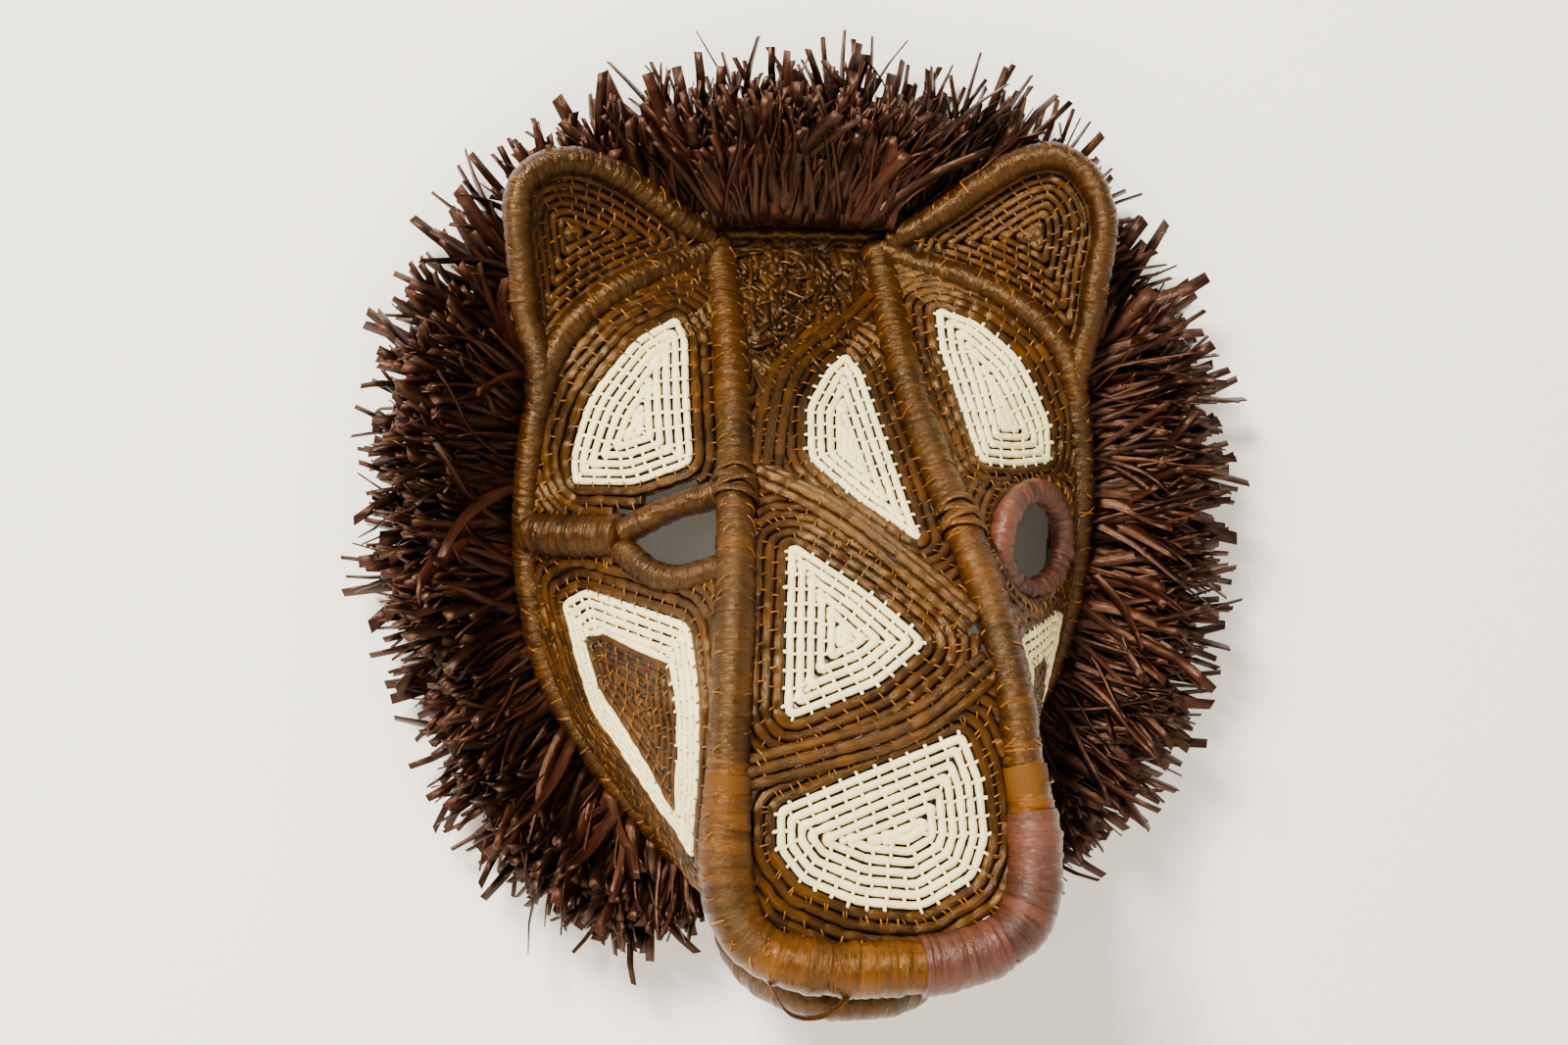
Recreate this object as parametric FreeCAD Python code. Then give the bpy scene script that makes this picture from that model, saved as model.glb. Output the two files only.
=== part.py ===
import FreeCAD, Part
import math
import os
from FreeCAD import Vector

# A coiled-fibre animal mask with a fringed mane, in millimetres.
# X runs to the viewer's right and +Z is up. Y = 0 is the wall and the face looks along -Y.
# The origin is the crown of the back ring, on the wall.
# A point is written (across, forward, up), where forward is the distance out from the wall.

# Rods: a fibre bundle inside a wrapped skin.
RIDGE_RADIUS = 6.5
LIP_RADIUS = 8.5
HOOP_RADIUS = 5.0
EAR_RADIUS = 5.0
JAW_RADIUS = 5.0
RING_RADIUS = 6.0
RING_CENTRE_FORWARD = 5.5
RIB_RADIUS = 3.6
BROW_RADIUS = 7.5
LID_RADIUS = 3.5
EYE_RING_RADIUS = 4.8
CROWN_BAR_RADIUS = 2.0
CROWN_BAR_ROUTE = [(-36, 9.5, -7.5), (36, 9.5, -7.5)]
WRAP_THICKNESS = 1.3
LASHING_PROUD = 0.6
LASHING_LENGTH = 12.0
LASHING_CENTRE = {"left": 112.0, "right": 128.0}
REWRAP = (20.0, 92.0)
JOINT_GAP = 0.3

# Coiled panels between the rods.
PANEL_THICKNESS = 3.0
PATCH_GAP = 0.2
PANEL_MARGIN = 0.8
SIDE_BULGE = 2.5
BEND_SHARE = 0.45
BORDER_CORNER = 0.15
PATCH_CORNER = 0.25
SOFT_CORNER = 0.4
REACH = 300.0

# Right-hand halves of the mirrored rods.
RIDGE_ROUTE = [(30, 8.5, -11.5), (30, 35, -47), (33.5, 66, -84), (40.5, 107, -124),
               (45.5, 127, -157), (47.6, 132.5, -183.5)]
LIP_HALF = [(47.6, 132.6, -183.9), (50.5, 138, -213), (45, 143.5, -234), (22, 146.5, -243)]
HOOP_HALF = [(40, 17.5, -17.5), (58, 28.5, -23), (78, 37, -34), (94, 41, -51), (101, 35, -88),
             (101.5, 29, -124), (95, 25, -164), (78, 23, -193), (58, 22, -219), (32, 22, -246)]
RING_HALF = [(44, 0), (78, -17), (99, -50), (105, -95), (103, -140), (92, -178), (72, -210), (44, -240)]
JAW_HALF = [(29, 30.5, -254), (32, 62, -257), (27, 93, -260), (12, 109, -262)]
JAW_FLOOR = [(29, 31, -254.5), (31, 45, -256), (31, 60, -257), (29, 77, -258.5), (24, 93, -260)]

# Each ear's rim, from its inner foot over the tip to its outer foot.
EAR_ROUTES = {
    "left": [(-42, 19, -6), (-62, 27, 8), (-80, 34, 15), (-93, 38, 14), (-104, 43, 6),
             (-105, 45, -7), (-103, 42, -24), (-103, 38, -40)],
    "right": [(42, 19, -6), (61, 27, 8), (77, 32, 19), (92, 37, 21.5), (103, 42, 10),
              (106.5, 44, -6), (103, 42, -24), (103, 38, -40)],
}

# Outlines on the central face are (across, up).
ARCH_RIB = [(20.5, -33.5), (9, -43), (-5, -51), (-14, -61), (-19.5, -75), (-23.5, -88)]
UPPER_RIB = [(-24.5, -94.5), (-11, -101), (4, -111), (19, -125), (32.7, -137.7)]
LOWER_RIB = [(-38.5, -182.5), (-15, -177.5), (3, -173.5), (19, -167), (35.8, -155)]
CROWN_PANEL = [(-22, -17), (22, -17), (20.5, -28.5), (6, -38.5), (-9, -47.5), (-18.5, -59.5), (-22, -70)]
TEARDROP_BORDER = [(22.3, -40), (12, -46.5), (-1, -54.5), (-9.5, -64), (-14.5, -76), (-18, -91.5),
                   (-9, -96.5), (6, -106.5), (20, -119.5), (31.5, -130), (28.5, -108), (24.8, -80)]
TEARDROP_PATCH = [(11.5, -50.5), (3, -57), (-6.5, -70), (-9.5, -88), (6, -102.5), (23.5, -115.5),
                  (20, -84), (16, -58)]
TRIANGLE_BORDER = [(-26.5, -99.5), (-14, -105), (0, -114.5), (15, -128.5), (31.5, -144), (32, -151.5),
                   (17, -162.5), (1, -168.5), (-16, -172.5), (-36.5, -176.8), (-36.5, -150), (-31, -120)]
TRIANGLE_PATCH = [(-21.5, -113.5), (1, -128), (20, -145), (2, -157), (-30, -169), (-26.5, -140)]
MUZZLE_BORDER = [(-38.5, -188.5), (-14, -183), (5, -179), (21, -172.5), (37, -161.5), (38.5, -186),
                 (40.5, -208), (36.5, -224.5), (16, -232), (-16, -232), (-36.5, -224.5), (-40.5, -208)]
MUZZLE_PATCH = [(-33, -196), (-8, -186), (28.5, -172.5), (34.5, -188), (34.5, -206), (29, -220),
                (10, -227.5), (-12, -224.5), (-32, -214)]

# Outlines on the sides are (share of the way from ridge to hoop, up).
FOREHEAD_PATCH = {
    "left": [(0.36, -38.5), (0.25, -46), (0.18, -90), (0.45, -97), (0.76, -97), (0.79, -88),
             (0.74, -66), (0.57, -46)],
    "right": [(0.35, -34), (0.24, -50), (0.26, -90), (0.5, -91.5), (0.76, -90), (0.79, -76),
              (0.71, -52), (0.57, -39)],
}
CHEEK_BAND = {
    "left": [(0.82, -138), (0.69, -132), (0.19, -140), (0.14, -165), (0.15, -186), (0.25, -214),
             (0.52, -200), (0.74, -176)],
    "right": [(0.82, -148), (0.69, -144.5), (0.19, -147), (0.14, -165), (0.15, -186), (0.25, -214),
              (0.52, -200), (0.74, -178)],
}
CHEEK_CENTER = {
    "left": [(0.71, -149), (0.61, -145.5), (0.27, -153), (0.24, -176), (0.31, -203), (0.47, -188),
             (0.66, -166)],
    "right": [(0.71, -158), (0.61, -155.5), (0.27, -158), (0.24, -178), (0.31, -203), (0.47, -190),
              (0.66, -172)],
}
CENTRE_TOP = -17.0
CENTRE_BOTTOM = -231.0
CENTRE_LEVELS = 30
BACK_WALL_TOP = -36.0
BACK_WALL_BOTTOM = -222.0
BACK_WALL_LEVELS = 14
FOREHEAD_LEVELS = 14
CHEEK_LEVELS = 16
SURROUND_LEVELS = 8
FOREHEAD_MIDDLE = -70.0
CHEEK_MIDDLE = -170.0
FOREHEAD_TOP = -25.0
FOREHEAD_BOTTOM = {"left": -106.0, "right": -94.0}
CHEEK_TOP = {"left": -122.0, "right": -140.5}
CHEEK_BOTTOM = -226.0
LIP_TOP = -180.0
EYE_CENTRE_UP = -117.0
EYE_RING_ACROSS = 28.0
EYE_RING_UP = 18.5
EYE_RING_SHARE = 0.5
EYE_RING_CORNERS = 8
LEFT_EYE_ZONE = [(-0.1, -91.5), (0.13, -92.3), (0.3, -95.8), (0.46, -101.8), (0.6, -105.6), (1.1, -105.8),
                 (1.1, -122.6), (0.56, -122.6), (0.44, -127), (0.32, -131.4), (0.13, -126.4), (-0.1, -125)]
LEFT_BROW_BAR = [(0.925, -114), (0.72, -114.5), (0.52, -113.5)]
LEFT_UPPER_LID = [(0.445, -107), (0.3, -100.5), (0.13, -96.8)]
LEFT_LOWER_LID = [(0.445, -120), (0.32, -126.7), (0.14, -121.6)]

# The mane: fringe rows seen from the front as (across, up), each with its depth.
MANE_OUTLINE = [(40, -252), (84, -250), (125, -222), (150, -172), (158, -114), (153, -60), (132, -14),
                (103, 28), (58, 46), (0, 50), (-44, 42), (-84, 28), (-122, 0), (-147, -52), (-152, -110),
                (-137, -168), (-118, -226), (-82, -256), (-40, -258), (-34, -232), (34, -232)]
MANE_LEFT_OUTLINE = [(-90, -66), (-128, -56), (-148, -64), (-152, -110), (-137, -168), (-118, -226),
                     (-82, -256), (-44, -258), (-38, -236)]
MANE_RIGHT_OUTLINE = [(90, -66), (128, -56), (153, -66), (158, -114), (150, -172), (125, -222),
                      (84, -250), (44, -252), (38, -236)]
MANE_TOP_OUTLINE = [(33, 7.5), (56, 16), (76, 29), (84, 36), (58, 46), (0, 50), (-44, 42), (-76, 31),
                    (-66, 23), (-33, 7.5)]
MANE_BACK_DEPTH = (2.0, 12.0)
MANE_FRONT_DEPTH = (12.4, 28.0)
MANE_ROOT_MARGIN = 0.6

PARTS = "parts"


def point(across, forward, up):
    """A point from the mask's own three measures."""
    return Vector(across, -forward, up)


def mirrored(half):
    """The left-hand half of a route, run backwards so that it follows on from the right-hand half."""
    return [(-a, *rest) for a, *rest in reversed(half)]


def vectors(route):
    """Vectors for a list of points."""
    return [point(*place) for place in route]


def rounded_edges(corners, share, closed=False):
    """Straight runs joined by tangent arcs at the corners."""
    count = len(corners)
    bends = range(count) if closed else range(1, count - 1)
    cuts = {}
    for i in bends:
        before, here, after = corners[i - 1], corners[i], corners[(i + 1) % count]
        run_in, run_out = here - before, after - here
        reach = share * min(run_in.Length, run_out.Length)
        start = here - run_in.normalize() * reach
        end = here + run_out.normalize() * reach
        half_turn = run_in.getAngle(run_out) / 2
        inward = ((start + end) * 0.5 - here).normalize()
        crown = here + inward * (reach * math.tan(half_turn / 2))
        cuts[i] = (start, crown, end)
    edges = []
    for i in range(count if closed else count - 1):
        j = (i + 1) % count
        start = cuts[i][2] if i in cuts else corners[i]
        end = cuts[j][0] if j in cuts else corners[j]
        edges.append(Part.LineSegment(start, end).toShape())
        if j in cuts:
            edges.append(Part.Arc(*cuts[j]).toShape())
    return edges


def rod_path(route, closed=False):
    """The centre line of a rod; a closed one starts in the middle of a straight run."""
    edges = rounded_edges(vectors(route), BEND_SHARE, closed)
    if closed:
        first = edges[0]
        half = first.Length / 2
        edges = [part_of(first, half, first.Length)] + edges[1:] + [part_of(first, 0.0, half)]
    return Part.Wire(edges)


def part_of(edge, start, end):
    """The stretch of an edge between two distances along it."""
    return edge.Curve.toShape(edge.getParameterByLength(start), edge.getParameterByLength(end))


def stretch(path, start, end):
    """The stretch of a centre line between two distances along it."""
    picked = []
    travelled = 0.0
    for edge in path.Edges:
        low = max(start - travelled, 0.0)
        high = min(end - travelled, edge.Length)
        if high - low > JOINT_GAP / 10:
            picked.append(part_of(edge, low, high))
        travelled += edge.Length
    return Part.Wire(picked)


def rod(path, radius):
    """A round rod along a centre line."""
    start = path.Edges[0].valueAt(path.Edges[0].FirstParameter)
    heading = path.Edges[0].tangentAt(path.Edges[0].FirstParameter)
    section = Part.Wire([Part.makeCircle(radius, start, heading)])
    return path.makePipeShell([section], True, False)


def tube(path, outer, inner):
    """A round tube along a centre line."""
    return rod(path, outer).cut(rod(path, inner))


def save(name, *shapes):
    """Write one node; several shapes make a group of separate solids."""
    shape = shapes[0] if len(shapes) == 1 else Part.makeCompound(list(shapes))
    shape.exportStep(os.path.join(PARTS, name + ".step"))


def save_wrapped(name, path, radius):
    """Write a rod as its core bundle and its wrapped skin."""
    core = radius - WRAP_THICKNESS
    save(name + "_core", rod(path, core))
    save(name + "_wrap", tube(path, radius, core))


def at_level(line, up):
    """Where a centre line crosses a height: (across, forward)."""
    for a, b in zip(line, line[1:]):
        if min(a.z, b.z) <= up <= max(a.z, b.z) and a.z != b.z:
            share = (up - a.z) / (b.z - a.z)
            here = a + (b - a) * share
            return here.x, -here.y
    raise ValueError(f"the line doesn't reach {up}")


def sampled(route):
    """Close points along a right-hand rod, from the crown downwards."""
    return rod_path(route).discretize(Distance=1.0)


RIDGE_LINE = sampled(RIDGE_ROUTE + LIP_HALF[1:])
HOOP_LINE = sampled(HOOP_HALF)
RING_LINE = sampled([(a, RING_CENTRE_FORWARD, up) for a, up in RING_HALF])


def central(across, up):
    """A point on the face between the ridges."""
    return point(across, at_level(RIDGE_LINE, up)[1], up)


def central_normal(up):
    """The outward direction of the face between the ridges."""
    above = central(0, up + 1)
    below = central(0, up - 1)
    return (above - below).cross(Vector(1, 0, 0)).normalize()


def side_frame(up):
    """Ridge point, the way to the hoop and the outward direction at a height."""
    ridge = Vector(*at_level(RIDGE_LINE, up), 0)
    hoop = Vector(*at_level(HOOP_LINE, up), 0)
    across = hoop - ridge
    outward = Vector(-across.y, across.x, 0).normalize()
    return ridge, across, outward


def side(share, up, sign, lift=0.0):
    """A point on the face between a ridge and the hoop."""
    ridge, across, outward = side_frame(up)
    bulge = 4 * SIDE_BULGE * share * (1 - share)
    place = ridge + across * share + outward * (bulge + lift)
    return point(sign * place.x, place.y, up)


def surface_solid(outer, inner):
    """A closed solid between two like grids of points."""
    faces = []
    for grid in (outer, inner):
        surface = Part.BSplineSurface()
        surface.interpolate(grid)
        faces.append(surface.toShape())
    faces += [Part.makeRuledSurface(a, b) for a, b in zip(faces[0].Edges, faces[1].Edges)]
    sewn = Part.makeCompound(faces)
    sewn.sewShape()
    solid = Part.makeSolid(sewn.Shells[0])
    middle = (outer[1][1] + inner[1][1]) * 0.5
    if not solid.isInside(middle, JOINT_GAP / 10, False):
        solid.reverse()
    return solid


def levels(top, bottom, count):
    """Evenly spaced heights."""
    return [top + (bottom - top) * i / (count - 1) for i in range(count)]


def outline_wire(places, direction, share):
    """A rounded closed outline, flattened onto a plane behind the mask."""
    base = -direction * REACH / 2
    flat = [p.projectToPlane(base, direction) for p in places]
    return Part.Wire(rounded_edges(flat, share, closed=True))


def outline_prism(places, direction, share=PATCH_CORNER, grow=0.0):
    """A long prism along a direction, from an outline on the face."""
    wire = outline_wire(places, direction, share)
    if grow:
        wire = wire.makeOffset2D(grow)
    return Part.Face(wire).extrude(direction * REACH)


def plate(outline, depth, grow=0.0):
    """A flat slab parallel to the wall between two forward distances."""
    corners = [point(a, depth[0], up) for a, up in outline]
    wire = Part.Wire(rounded_edges(corners, SOFT_CORNER, closed=True))
    if grow:
        wire = wire.makeOffset2D(grow)
    return Part.Face(wire).extrude(Vector(0, depth[0] - depth[1], 0))


def make_ridges():
    """Two ridges from crown to muzzle, each wrapped and bound once by a lashing."""
    core = RIDGE_RADIUS - WRAP_THICKNESS
    for name, sign in (("left", -1), ("right", 1)):
        centre = LASHING_CENTRE[name]
        path = rod_path([(sign * a, f, up) for a, f, up in RIDGE_ROUTE])
        start = centre - LASHING_LENGTH / 2
        end = centre + LASHING_LENGTH / 2
        save(f"{name}_ridge_core", rod(path, core))
        save(f"{name}_ridge_upper_wrap", tube(stretch(path, 0, start), RIDGE_RADIUS, core))
        save(f"{name}_ridge_lashing", tube(stretch(path, start, end), RIDGE_RADIUS + LASHING_PROUD, core))
        save(f"{name}_ridge_lower_wrap", tube(stretch(path, end, path.Length), RIDGE_RADIUS, core))


def make_lip():
    """The muzzle's lip: one bent core with a wrap that is renewed over the lower right corner."""
    core = LIP_RADIUS - WRAP_THICKNESS
    path = rod_path(LIP_HALF + mirrored(LIP_HALF))
    start, end = REWRAP
    save("lip_core", rod(path, core))
    save("lip_wrap_right", tube(stretch(path, 0, start), LIP_RADIUS, core))
    save("lip_rewrap", tube(stretch(path, start, end), LIP_RADIUS, core))
    save("lip_wrap_left", tube(stretch(path, end, path.Length), LIP_RADIUS, core))


def make_hoop():
    """The face hoop, an open loop from ridge to ridge under the chin."""
    route = HOOP_HALF + mirrored(HOOP_HALF)
    save_wrapped("face_hoop", rod_path(route), HOOP_RADIUS)


def make_crown_bar():
    """The thin rod across the tops of the ridges."""
    save("crown_bar", rod(rod_path(CROWN_BAR_ROUTE), CROWN_BAR_RADIUS))


def make_ears():
    """Each ear: a wrapped rim and a flat coiled panel inside it."""
    for name, sign in (("left", -1), ("right", 1)):
        route = EAR_ROUTES[name]
        save_wrapped(f"{name}_ear", rod_path(route), EAR_RADIUS)
        foot = [(sign * a, f, up) for a, f, up in reversed(HOOP_HALF[1:4])]
        corners = vectors(route + foot)
        normal = Vector(0, 0, 0)
        for a, b in zip(corners, corners[1:] + corners[:1]):
            normal += a.cross(b)
        normal.normalize()
        centre = sum(corners, Vector(0, 0, 0)) * (1 / len(corners))
        base = centre - normal * (PANEL_THICKNESS / 2)
        flat = [p.projectToPlane(base, normal) for p in corners]
        wire = Part.Wire(rounded_edges(flat, SOFT_CORNER, closed=True))
        inset = wire.makeOffset2D(-(EAR_RADIUS + PANEL_MARGIN))
        save(f"{name}_ear_panel", Part.Face(inset).extrude(normal * PANEL_THICKNESS))


def make_jaw():
    """The lower jaw: a bent rod and the coiled floor inside it."""
    path = rod_path(JAW_HALF + mirrored(JAW_HALF))
    save_wrapped("jaw", path, JAW_RADIUS)
    inset = JAW_RADIUS + PANEL_MARGIN
    grids = []
    for lift in (-PANEL_THICKNESS / 2, PANEL_THICKNESS / 2):
        rows = []
        for a, f, up in JAW_FLOOR:
            half = a - inset
            rows.append([point(half * k / 2, f, up + lift) for k in range(-2, 3)])
        grids.append(rows)
    save("jaw_panel", surface_solid(*grids))


def make_back():
    """The back ring, flat where it meets the wall, and the walls from it to the face hoop."""
    core = RING_RADIUS - WRAP_THICKNESS
    corners = [(a, RING_CENTRE_FORWARD, up) for a, up in RING_HALF]
    path = rod_path(corners + mirrored(corners), closed=True)
    behind = Part.makeBox(2 * REACH, REACH, 2 * REACH, Vector(-REACH, 0, -REACH))
    save("back_ring_core", rod(path, core))
    save("back_ring_wrap", tube(path, RING_RADIUS, core).cut(behind))
    for name, sign in (("left", -1), ("right", 1)):
        grids = []
        for lift in (-PANEL_THICKNESS / 2, PANEL_THICKNESS / 2):
            rows = []
            for up in levels(BACK_WALL_TOP, BACK_WALL_BOTTOM, BACK_WALL_LEVELS):
                ring = at_level(RING_LINE, up)
                hoop = at_level(HOOP_LINE, up)
                back = RING_CENTRE_FORWARD + RING_RADIUS + JOINT_GAP
                front = hoop[1] - HOOP_RADIUS - PANEL_MARGIN
                shares = (0.0, 0.5, 1.0)
                rows.append([point(sign * (ring[0] + (hoop[0] - ring[0]) * s + lift),
                                   back + (front - back) * s, up) for s in shares])
            grids.append(rows)
        save(f"{name}_back_wall", surface_solid(*grids))


def make_mane():
    """The mane: a back row all round and fuller front rows beside and above the face."""
    hole = RING_RADIUS + MANE_ROOT_MARGIN
    ring = RING_HALF + mirrored(RING_HALF)
    rows = {"mane_back_row": (MANE_OUTLINE, MANE_BACK_DEPTH),
            "mane_left_row": (MANE_LEFT_OUTLINE, MANE_FRONT_DEPTH),
            "mane_right_row": (MANE_RIGHT_OUTLINE, MANE_FRONT_DEPTH)}
    for name, (outline, depth) in rows.items():
        root = plate(ring, (depth[0] - MANE_ROOT_MARGIN, depth[1] + MANE_ROOT_MARGIN), hole)
        save(name, plate(outline, depth).cut(root))
    save("mane_top_row", plate(MANE_TOP_OUTLINE, MANE_FRONT_DEPTH))


def margin(line, up, across, radius):
    """How far along a level direction a panel stays from a rod that crosses it at a slant."""
    above = Vector(*at_level(line, up + 1), 2)
    below = Vector(*at_level(line, up - 1), 0)
    slant = math.sin((above - below).getAngle(across))
    return (radius + PANEL_MARGIN) / slant


def central_slab(top, bottom, count):
    """The panel layer between the ridges."""
    grids = []
    for lift in (-PANEL_THICKNESS / 2, PANEL_THICKNESS / 2):
        rows = []
        for up in levels(top, bottom, count):
            half = at_level(RIDGE_LINE, up)[0] - RIDGE_RADIUS - PANEL_MARGIN
            shift = central_normal(up) * lift
            rows.append([central(half * k / 2, up) + shift for k in range(-2, 3)])
        grids.append(rows)
    return surface_solid(*grids)


def side_slab(sign, top, bottom, count):
    """The panel layer between a ridge and the hoop."""
    grids = []
    for lift in (-PANEL_THICKNESS / 2, PANEL_THICKNESS / 2):
        rows = []
        for up in levels(top, bottom, count):
            across = side_frame(up)[1]
            front_radius = LIP_RADIUS if up < LIP_TOP else RIDGE_RADIUS
            low = margin(RIDGE_LINE, up, across, front_radius) / across.Length
            high = 1 - margin(HOOP_LINE, up, across, HOOP_RADIUS) / across.Length
            rows.append([side(low + (high - low) * k / 4, up, sign, lift) for k in range(5)])
        grids.append(rows)
    return surface_solid(*grids)


def on_centre(outline):
    """Points of a central outline on the face."""
    return [central(a, up) for a, up in outline]


def on_side(outline, sign):
    """Points of a side outline on the face."""
    return [side(share, up, sign) for share, up in outline]


def make_centre():
    """The ribs, borders and pale patches between the ridges."""
    ribs = {"arch_rib": ARCH_RIB, "upper_cross_rib": UPPER_RIB, "lower_cross_rib": LOWER_RIB}
    for name, route in ribs.items():
        places = [(p.x, -p.y, p.z) for p in on_centre(route)]
        save(name, rod(rod_path(places), RIB_RADIUS))
    slab = central_slab(CENTRE_TOP, CENTRE_BOTTOM, CENTRE_LEVELS)
    toward = Vector(0, -1, 0)
    save("crown_panel", slab.common(outline_prism(on_centre(CROWN_PANEL), toward, BORDER_CORNER)))
    pairs = {"teardrop": (TEARDROP_BORDER, TEARDROP_PATCH), "triangle": (TRIANGLE_BORDER, TRIANGLE_PATCH),
             "muzzle": (MUZZLE_BORDER, MUZZLE_PATCH)}
    for name, (border, patch) in pairs.items():
        whole = slab.common(outline_prism(on_centre(border), toward, BORDER_CORNER))
        save(f"{name}_border", whole.cut(outline_prism(on_centre(patch), toward, grow=PATCH_GAP)))
        save(f"{name}_patch", slab.common(outline_prism(on_centre(patch), toward)))


def facing(sign, up):
    """The outward direction of a side at a height."""
    outward = side_frame(up)[2]
    return point(sign * outward.x, outward.y, 0)


def eye_loop(radius):
    """A level-sided loop round the right eye, square to the side."""
    ridge, across, outward = side_frame(EYE_CENTRE_UP)
    centre = ridge + across * EYE_RING_SHARE + outward * SIDE_BULGE
    along = across.normalize()
    turns = [2 * math.pi * k / EYE_RING_CORNERS for k in range(EYE_RING_CORNERS)]
    loop = []
    for turn in turns:
        place = centre + along * ((EYE_RING_ACROSS + radius) * math.cos(turn))
        loop.append((place.x, place.y, EYE_CENTRE_UP + (EYE_RING_UP + radius) * math.sin(turn)))
    return loop


def make_side(name, sign):
    """The forehead and cheek panels on one side."""
    forehead = side_slab(sign, FOREHEAD_TOP, FOREHEAD_BOTTOM[name], FOREHEAD_LEVELS)
    cheek = side_slab(sign, CHEEK_TOP[name], CHEEK_BOTTOM, CHEEK_LEVELS)
    if name == "left":
        zone = outline_prism(on_side(LEFT_EYE_ZONE, sign), facing(sign, EYE_CENTRE_UP))
        forehead = forehead.cut(zone)
        cheek = cheek.cut(zone)
    patch = on_side(FOREHEAD_PATCH[name], sign)
    toward = facing(sign, FOREHEAD_MIDDLE)
    save(f"{name}_forehead_border", forehead.cut(outline_prism(patch, toward, grow=PATCH_GAP)))
    save(f"{name}_forehead_patch", forehead.common(outline_prism(patch, toward)))
    band = on_side(CHEEK_BAND[name], sign)
    center = on_side(CHEEK_CENTER[name], sign)
    toward = facing(sign, CHEEK_MIDDLE)
    save(f"{name}_cheek_border", cheek.cut(outline_prism(band, toward, grow=PATCH_GAP)))
    ring = cheek.common(outline_prism(band, toward)).cut(outline_prism(center, toward, grow=PATCH_GAP))
    save(f"{name}_cheek_band", ring)
    save(f"{name}_cheek_center", cheek.common(outline_prism(center, toward)))


def make_left_eye():
    """The open eye: a thick bar from the hoop that parts into two lids."""
    for name, route, radius in (("left_brow_bar", LEFT_BROW_BAR, BROW_RADIUS),
                                ("left_upper_lid", LEFT_UPPER_LID, LID_RADIUS),
                                ("left_lower_lid", LEFT_LOWER_LID, LID_RADIUS)):
        places = [(p.x, -p.y, p.z) for p in on_side(route, -1)]
        save(name, rod(rod_path(places), radius))


def make_right_eye():
    """The re-wrapped ring round the other eye, and the rows that carry it."""
    save_wrapped("right_eye_ring", rod_path(eye_loop(0), closed=True), EYE_RING_RADIUS)
    top = FOREHEAD_BOTTOM["right"] - JOINT_GAP
    bottom = CHEEK_TOP["right"] + JOINT_GAP
    slab = side_slab(1, top, bottom, SURROUND_LEVELS)
    loop = vectors(eye_loop(EYE_RING_RADIUS + PANEL_MARGIN))
    hole = outline_prism(loop, facing(1, EYE_CENTRE_UP), SOFT_CORNER)
    save("right_eye_surround", slab.cut(hole))


def main():
    os.makedirs(PARTS, exist_ok=True)
    make_ridges()
    make_lip()
    make_hoop()
    make_crown_bar()
    make_ears()
    make_jaw()
    make_back()
    make_mane()
    make_centre()
    make_side("left", -1)
    make_side("right", 1)
    make_left_eye()
    make_right_eye()


main()
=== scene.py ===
import math

import bpy
import numpy as np
from mathutils import Matrix, Vector


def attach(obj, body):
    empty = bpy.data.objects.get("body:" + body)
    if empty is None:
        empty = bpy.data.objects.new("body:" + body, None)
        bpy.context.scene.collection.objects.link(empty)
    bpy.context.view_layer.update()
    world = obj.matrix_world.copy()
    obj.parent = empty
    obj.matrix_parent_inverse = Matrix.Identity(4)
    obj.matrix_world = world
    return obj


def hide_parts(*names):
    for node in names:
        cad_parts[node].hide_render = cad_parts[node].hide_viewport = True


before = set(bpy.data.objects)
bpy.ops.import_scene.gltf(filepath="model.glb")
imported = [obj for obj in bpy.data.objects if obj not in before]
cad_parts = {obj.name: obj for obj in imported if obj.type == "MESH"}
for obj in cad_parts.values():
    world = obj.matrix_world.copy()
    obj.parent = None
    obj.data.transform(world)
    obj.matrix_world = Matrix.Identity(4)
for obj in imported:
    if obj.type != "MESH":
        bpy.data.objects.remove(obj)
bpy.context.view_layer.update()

bl_info = {
    "name": "Coiled Fibre Animal Mask",
    "version": (1, 0, 0),
    "blender": (4, 5, 0),
    "location": "View3D > Sidebar > Mask",
    "description": "Weaves a coiled fibre animal mask with wrapped rods, stitched rows and a fringed mane",
    "category": "Add Mesh",
}

# Sizes are in millimetres until a mesh is made. A point of a route is (across, forward, up):
# across runs to the viewer's right, forward is the distance out from the wall.
MM = 0.001
RNG_SEED = 11

# Radii of the rods as wound, and places where one wound rod becomes the next.
RIDGE_RADIUS = 6.5
LIP_RADIUS = 8.5
HOOP_RADIUS = 5.0
EAR_RADIUS = 5.0
JAW_RADIUS = 5.0
RING_RADIUS = 6.0
RING_FORWARD = 5.5
BROW_RADIUS = 7.5
LID_RADIUS = 3.5
EYE_RING_RADIUS = 4.8
CROWN_BAR_RADIUS = 2.0
SIDE_BULGE = 2.5
LIP_BLEND = (-206.0, -182.0)
LIP_START = -178.0

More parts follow.
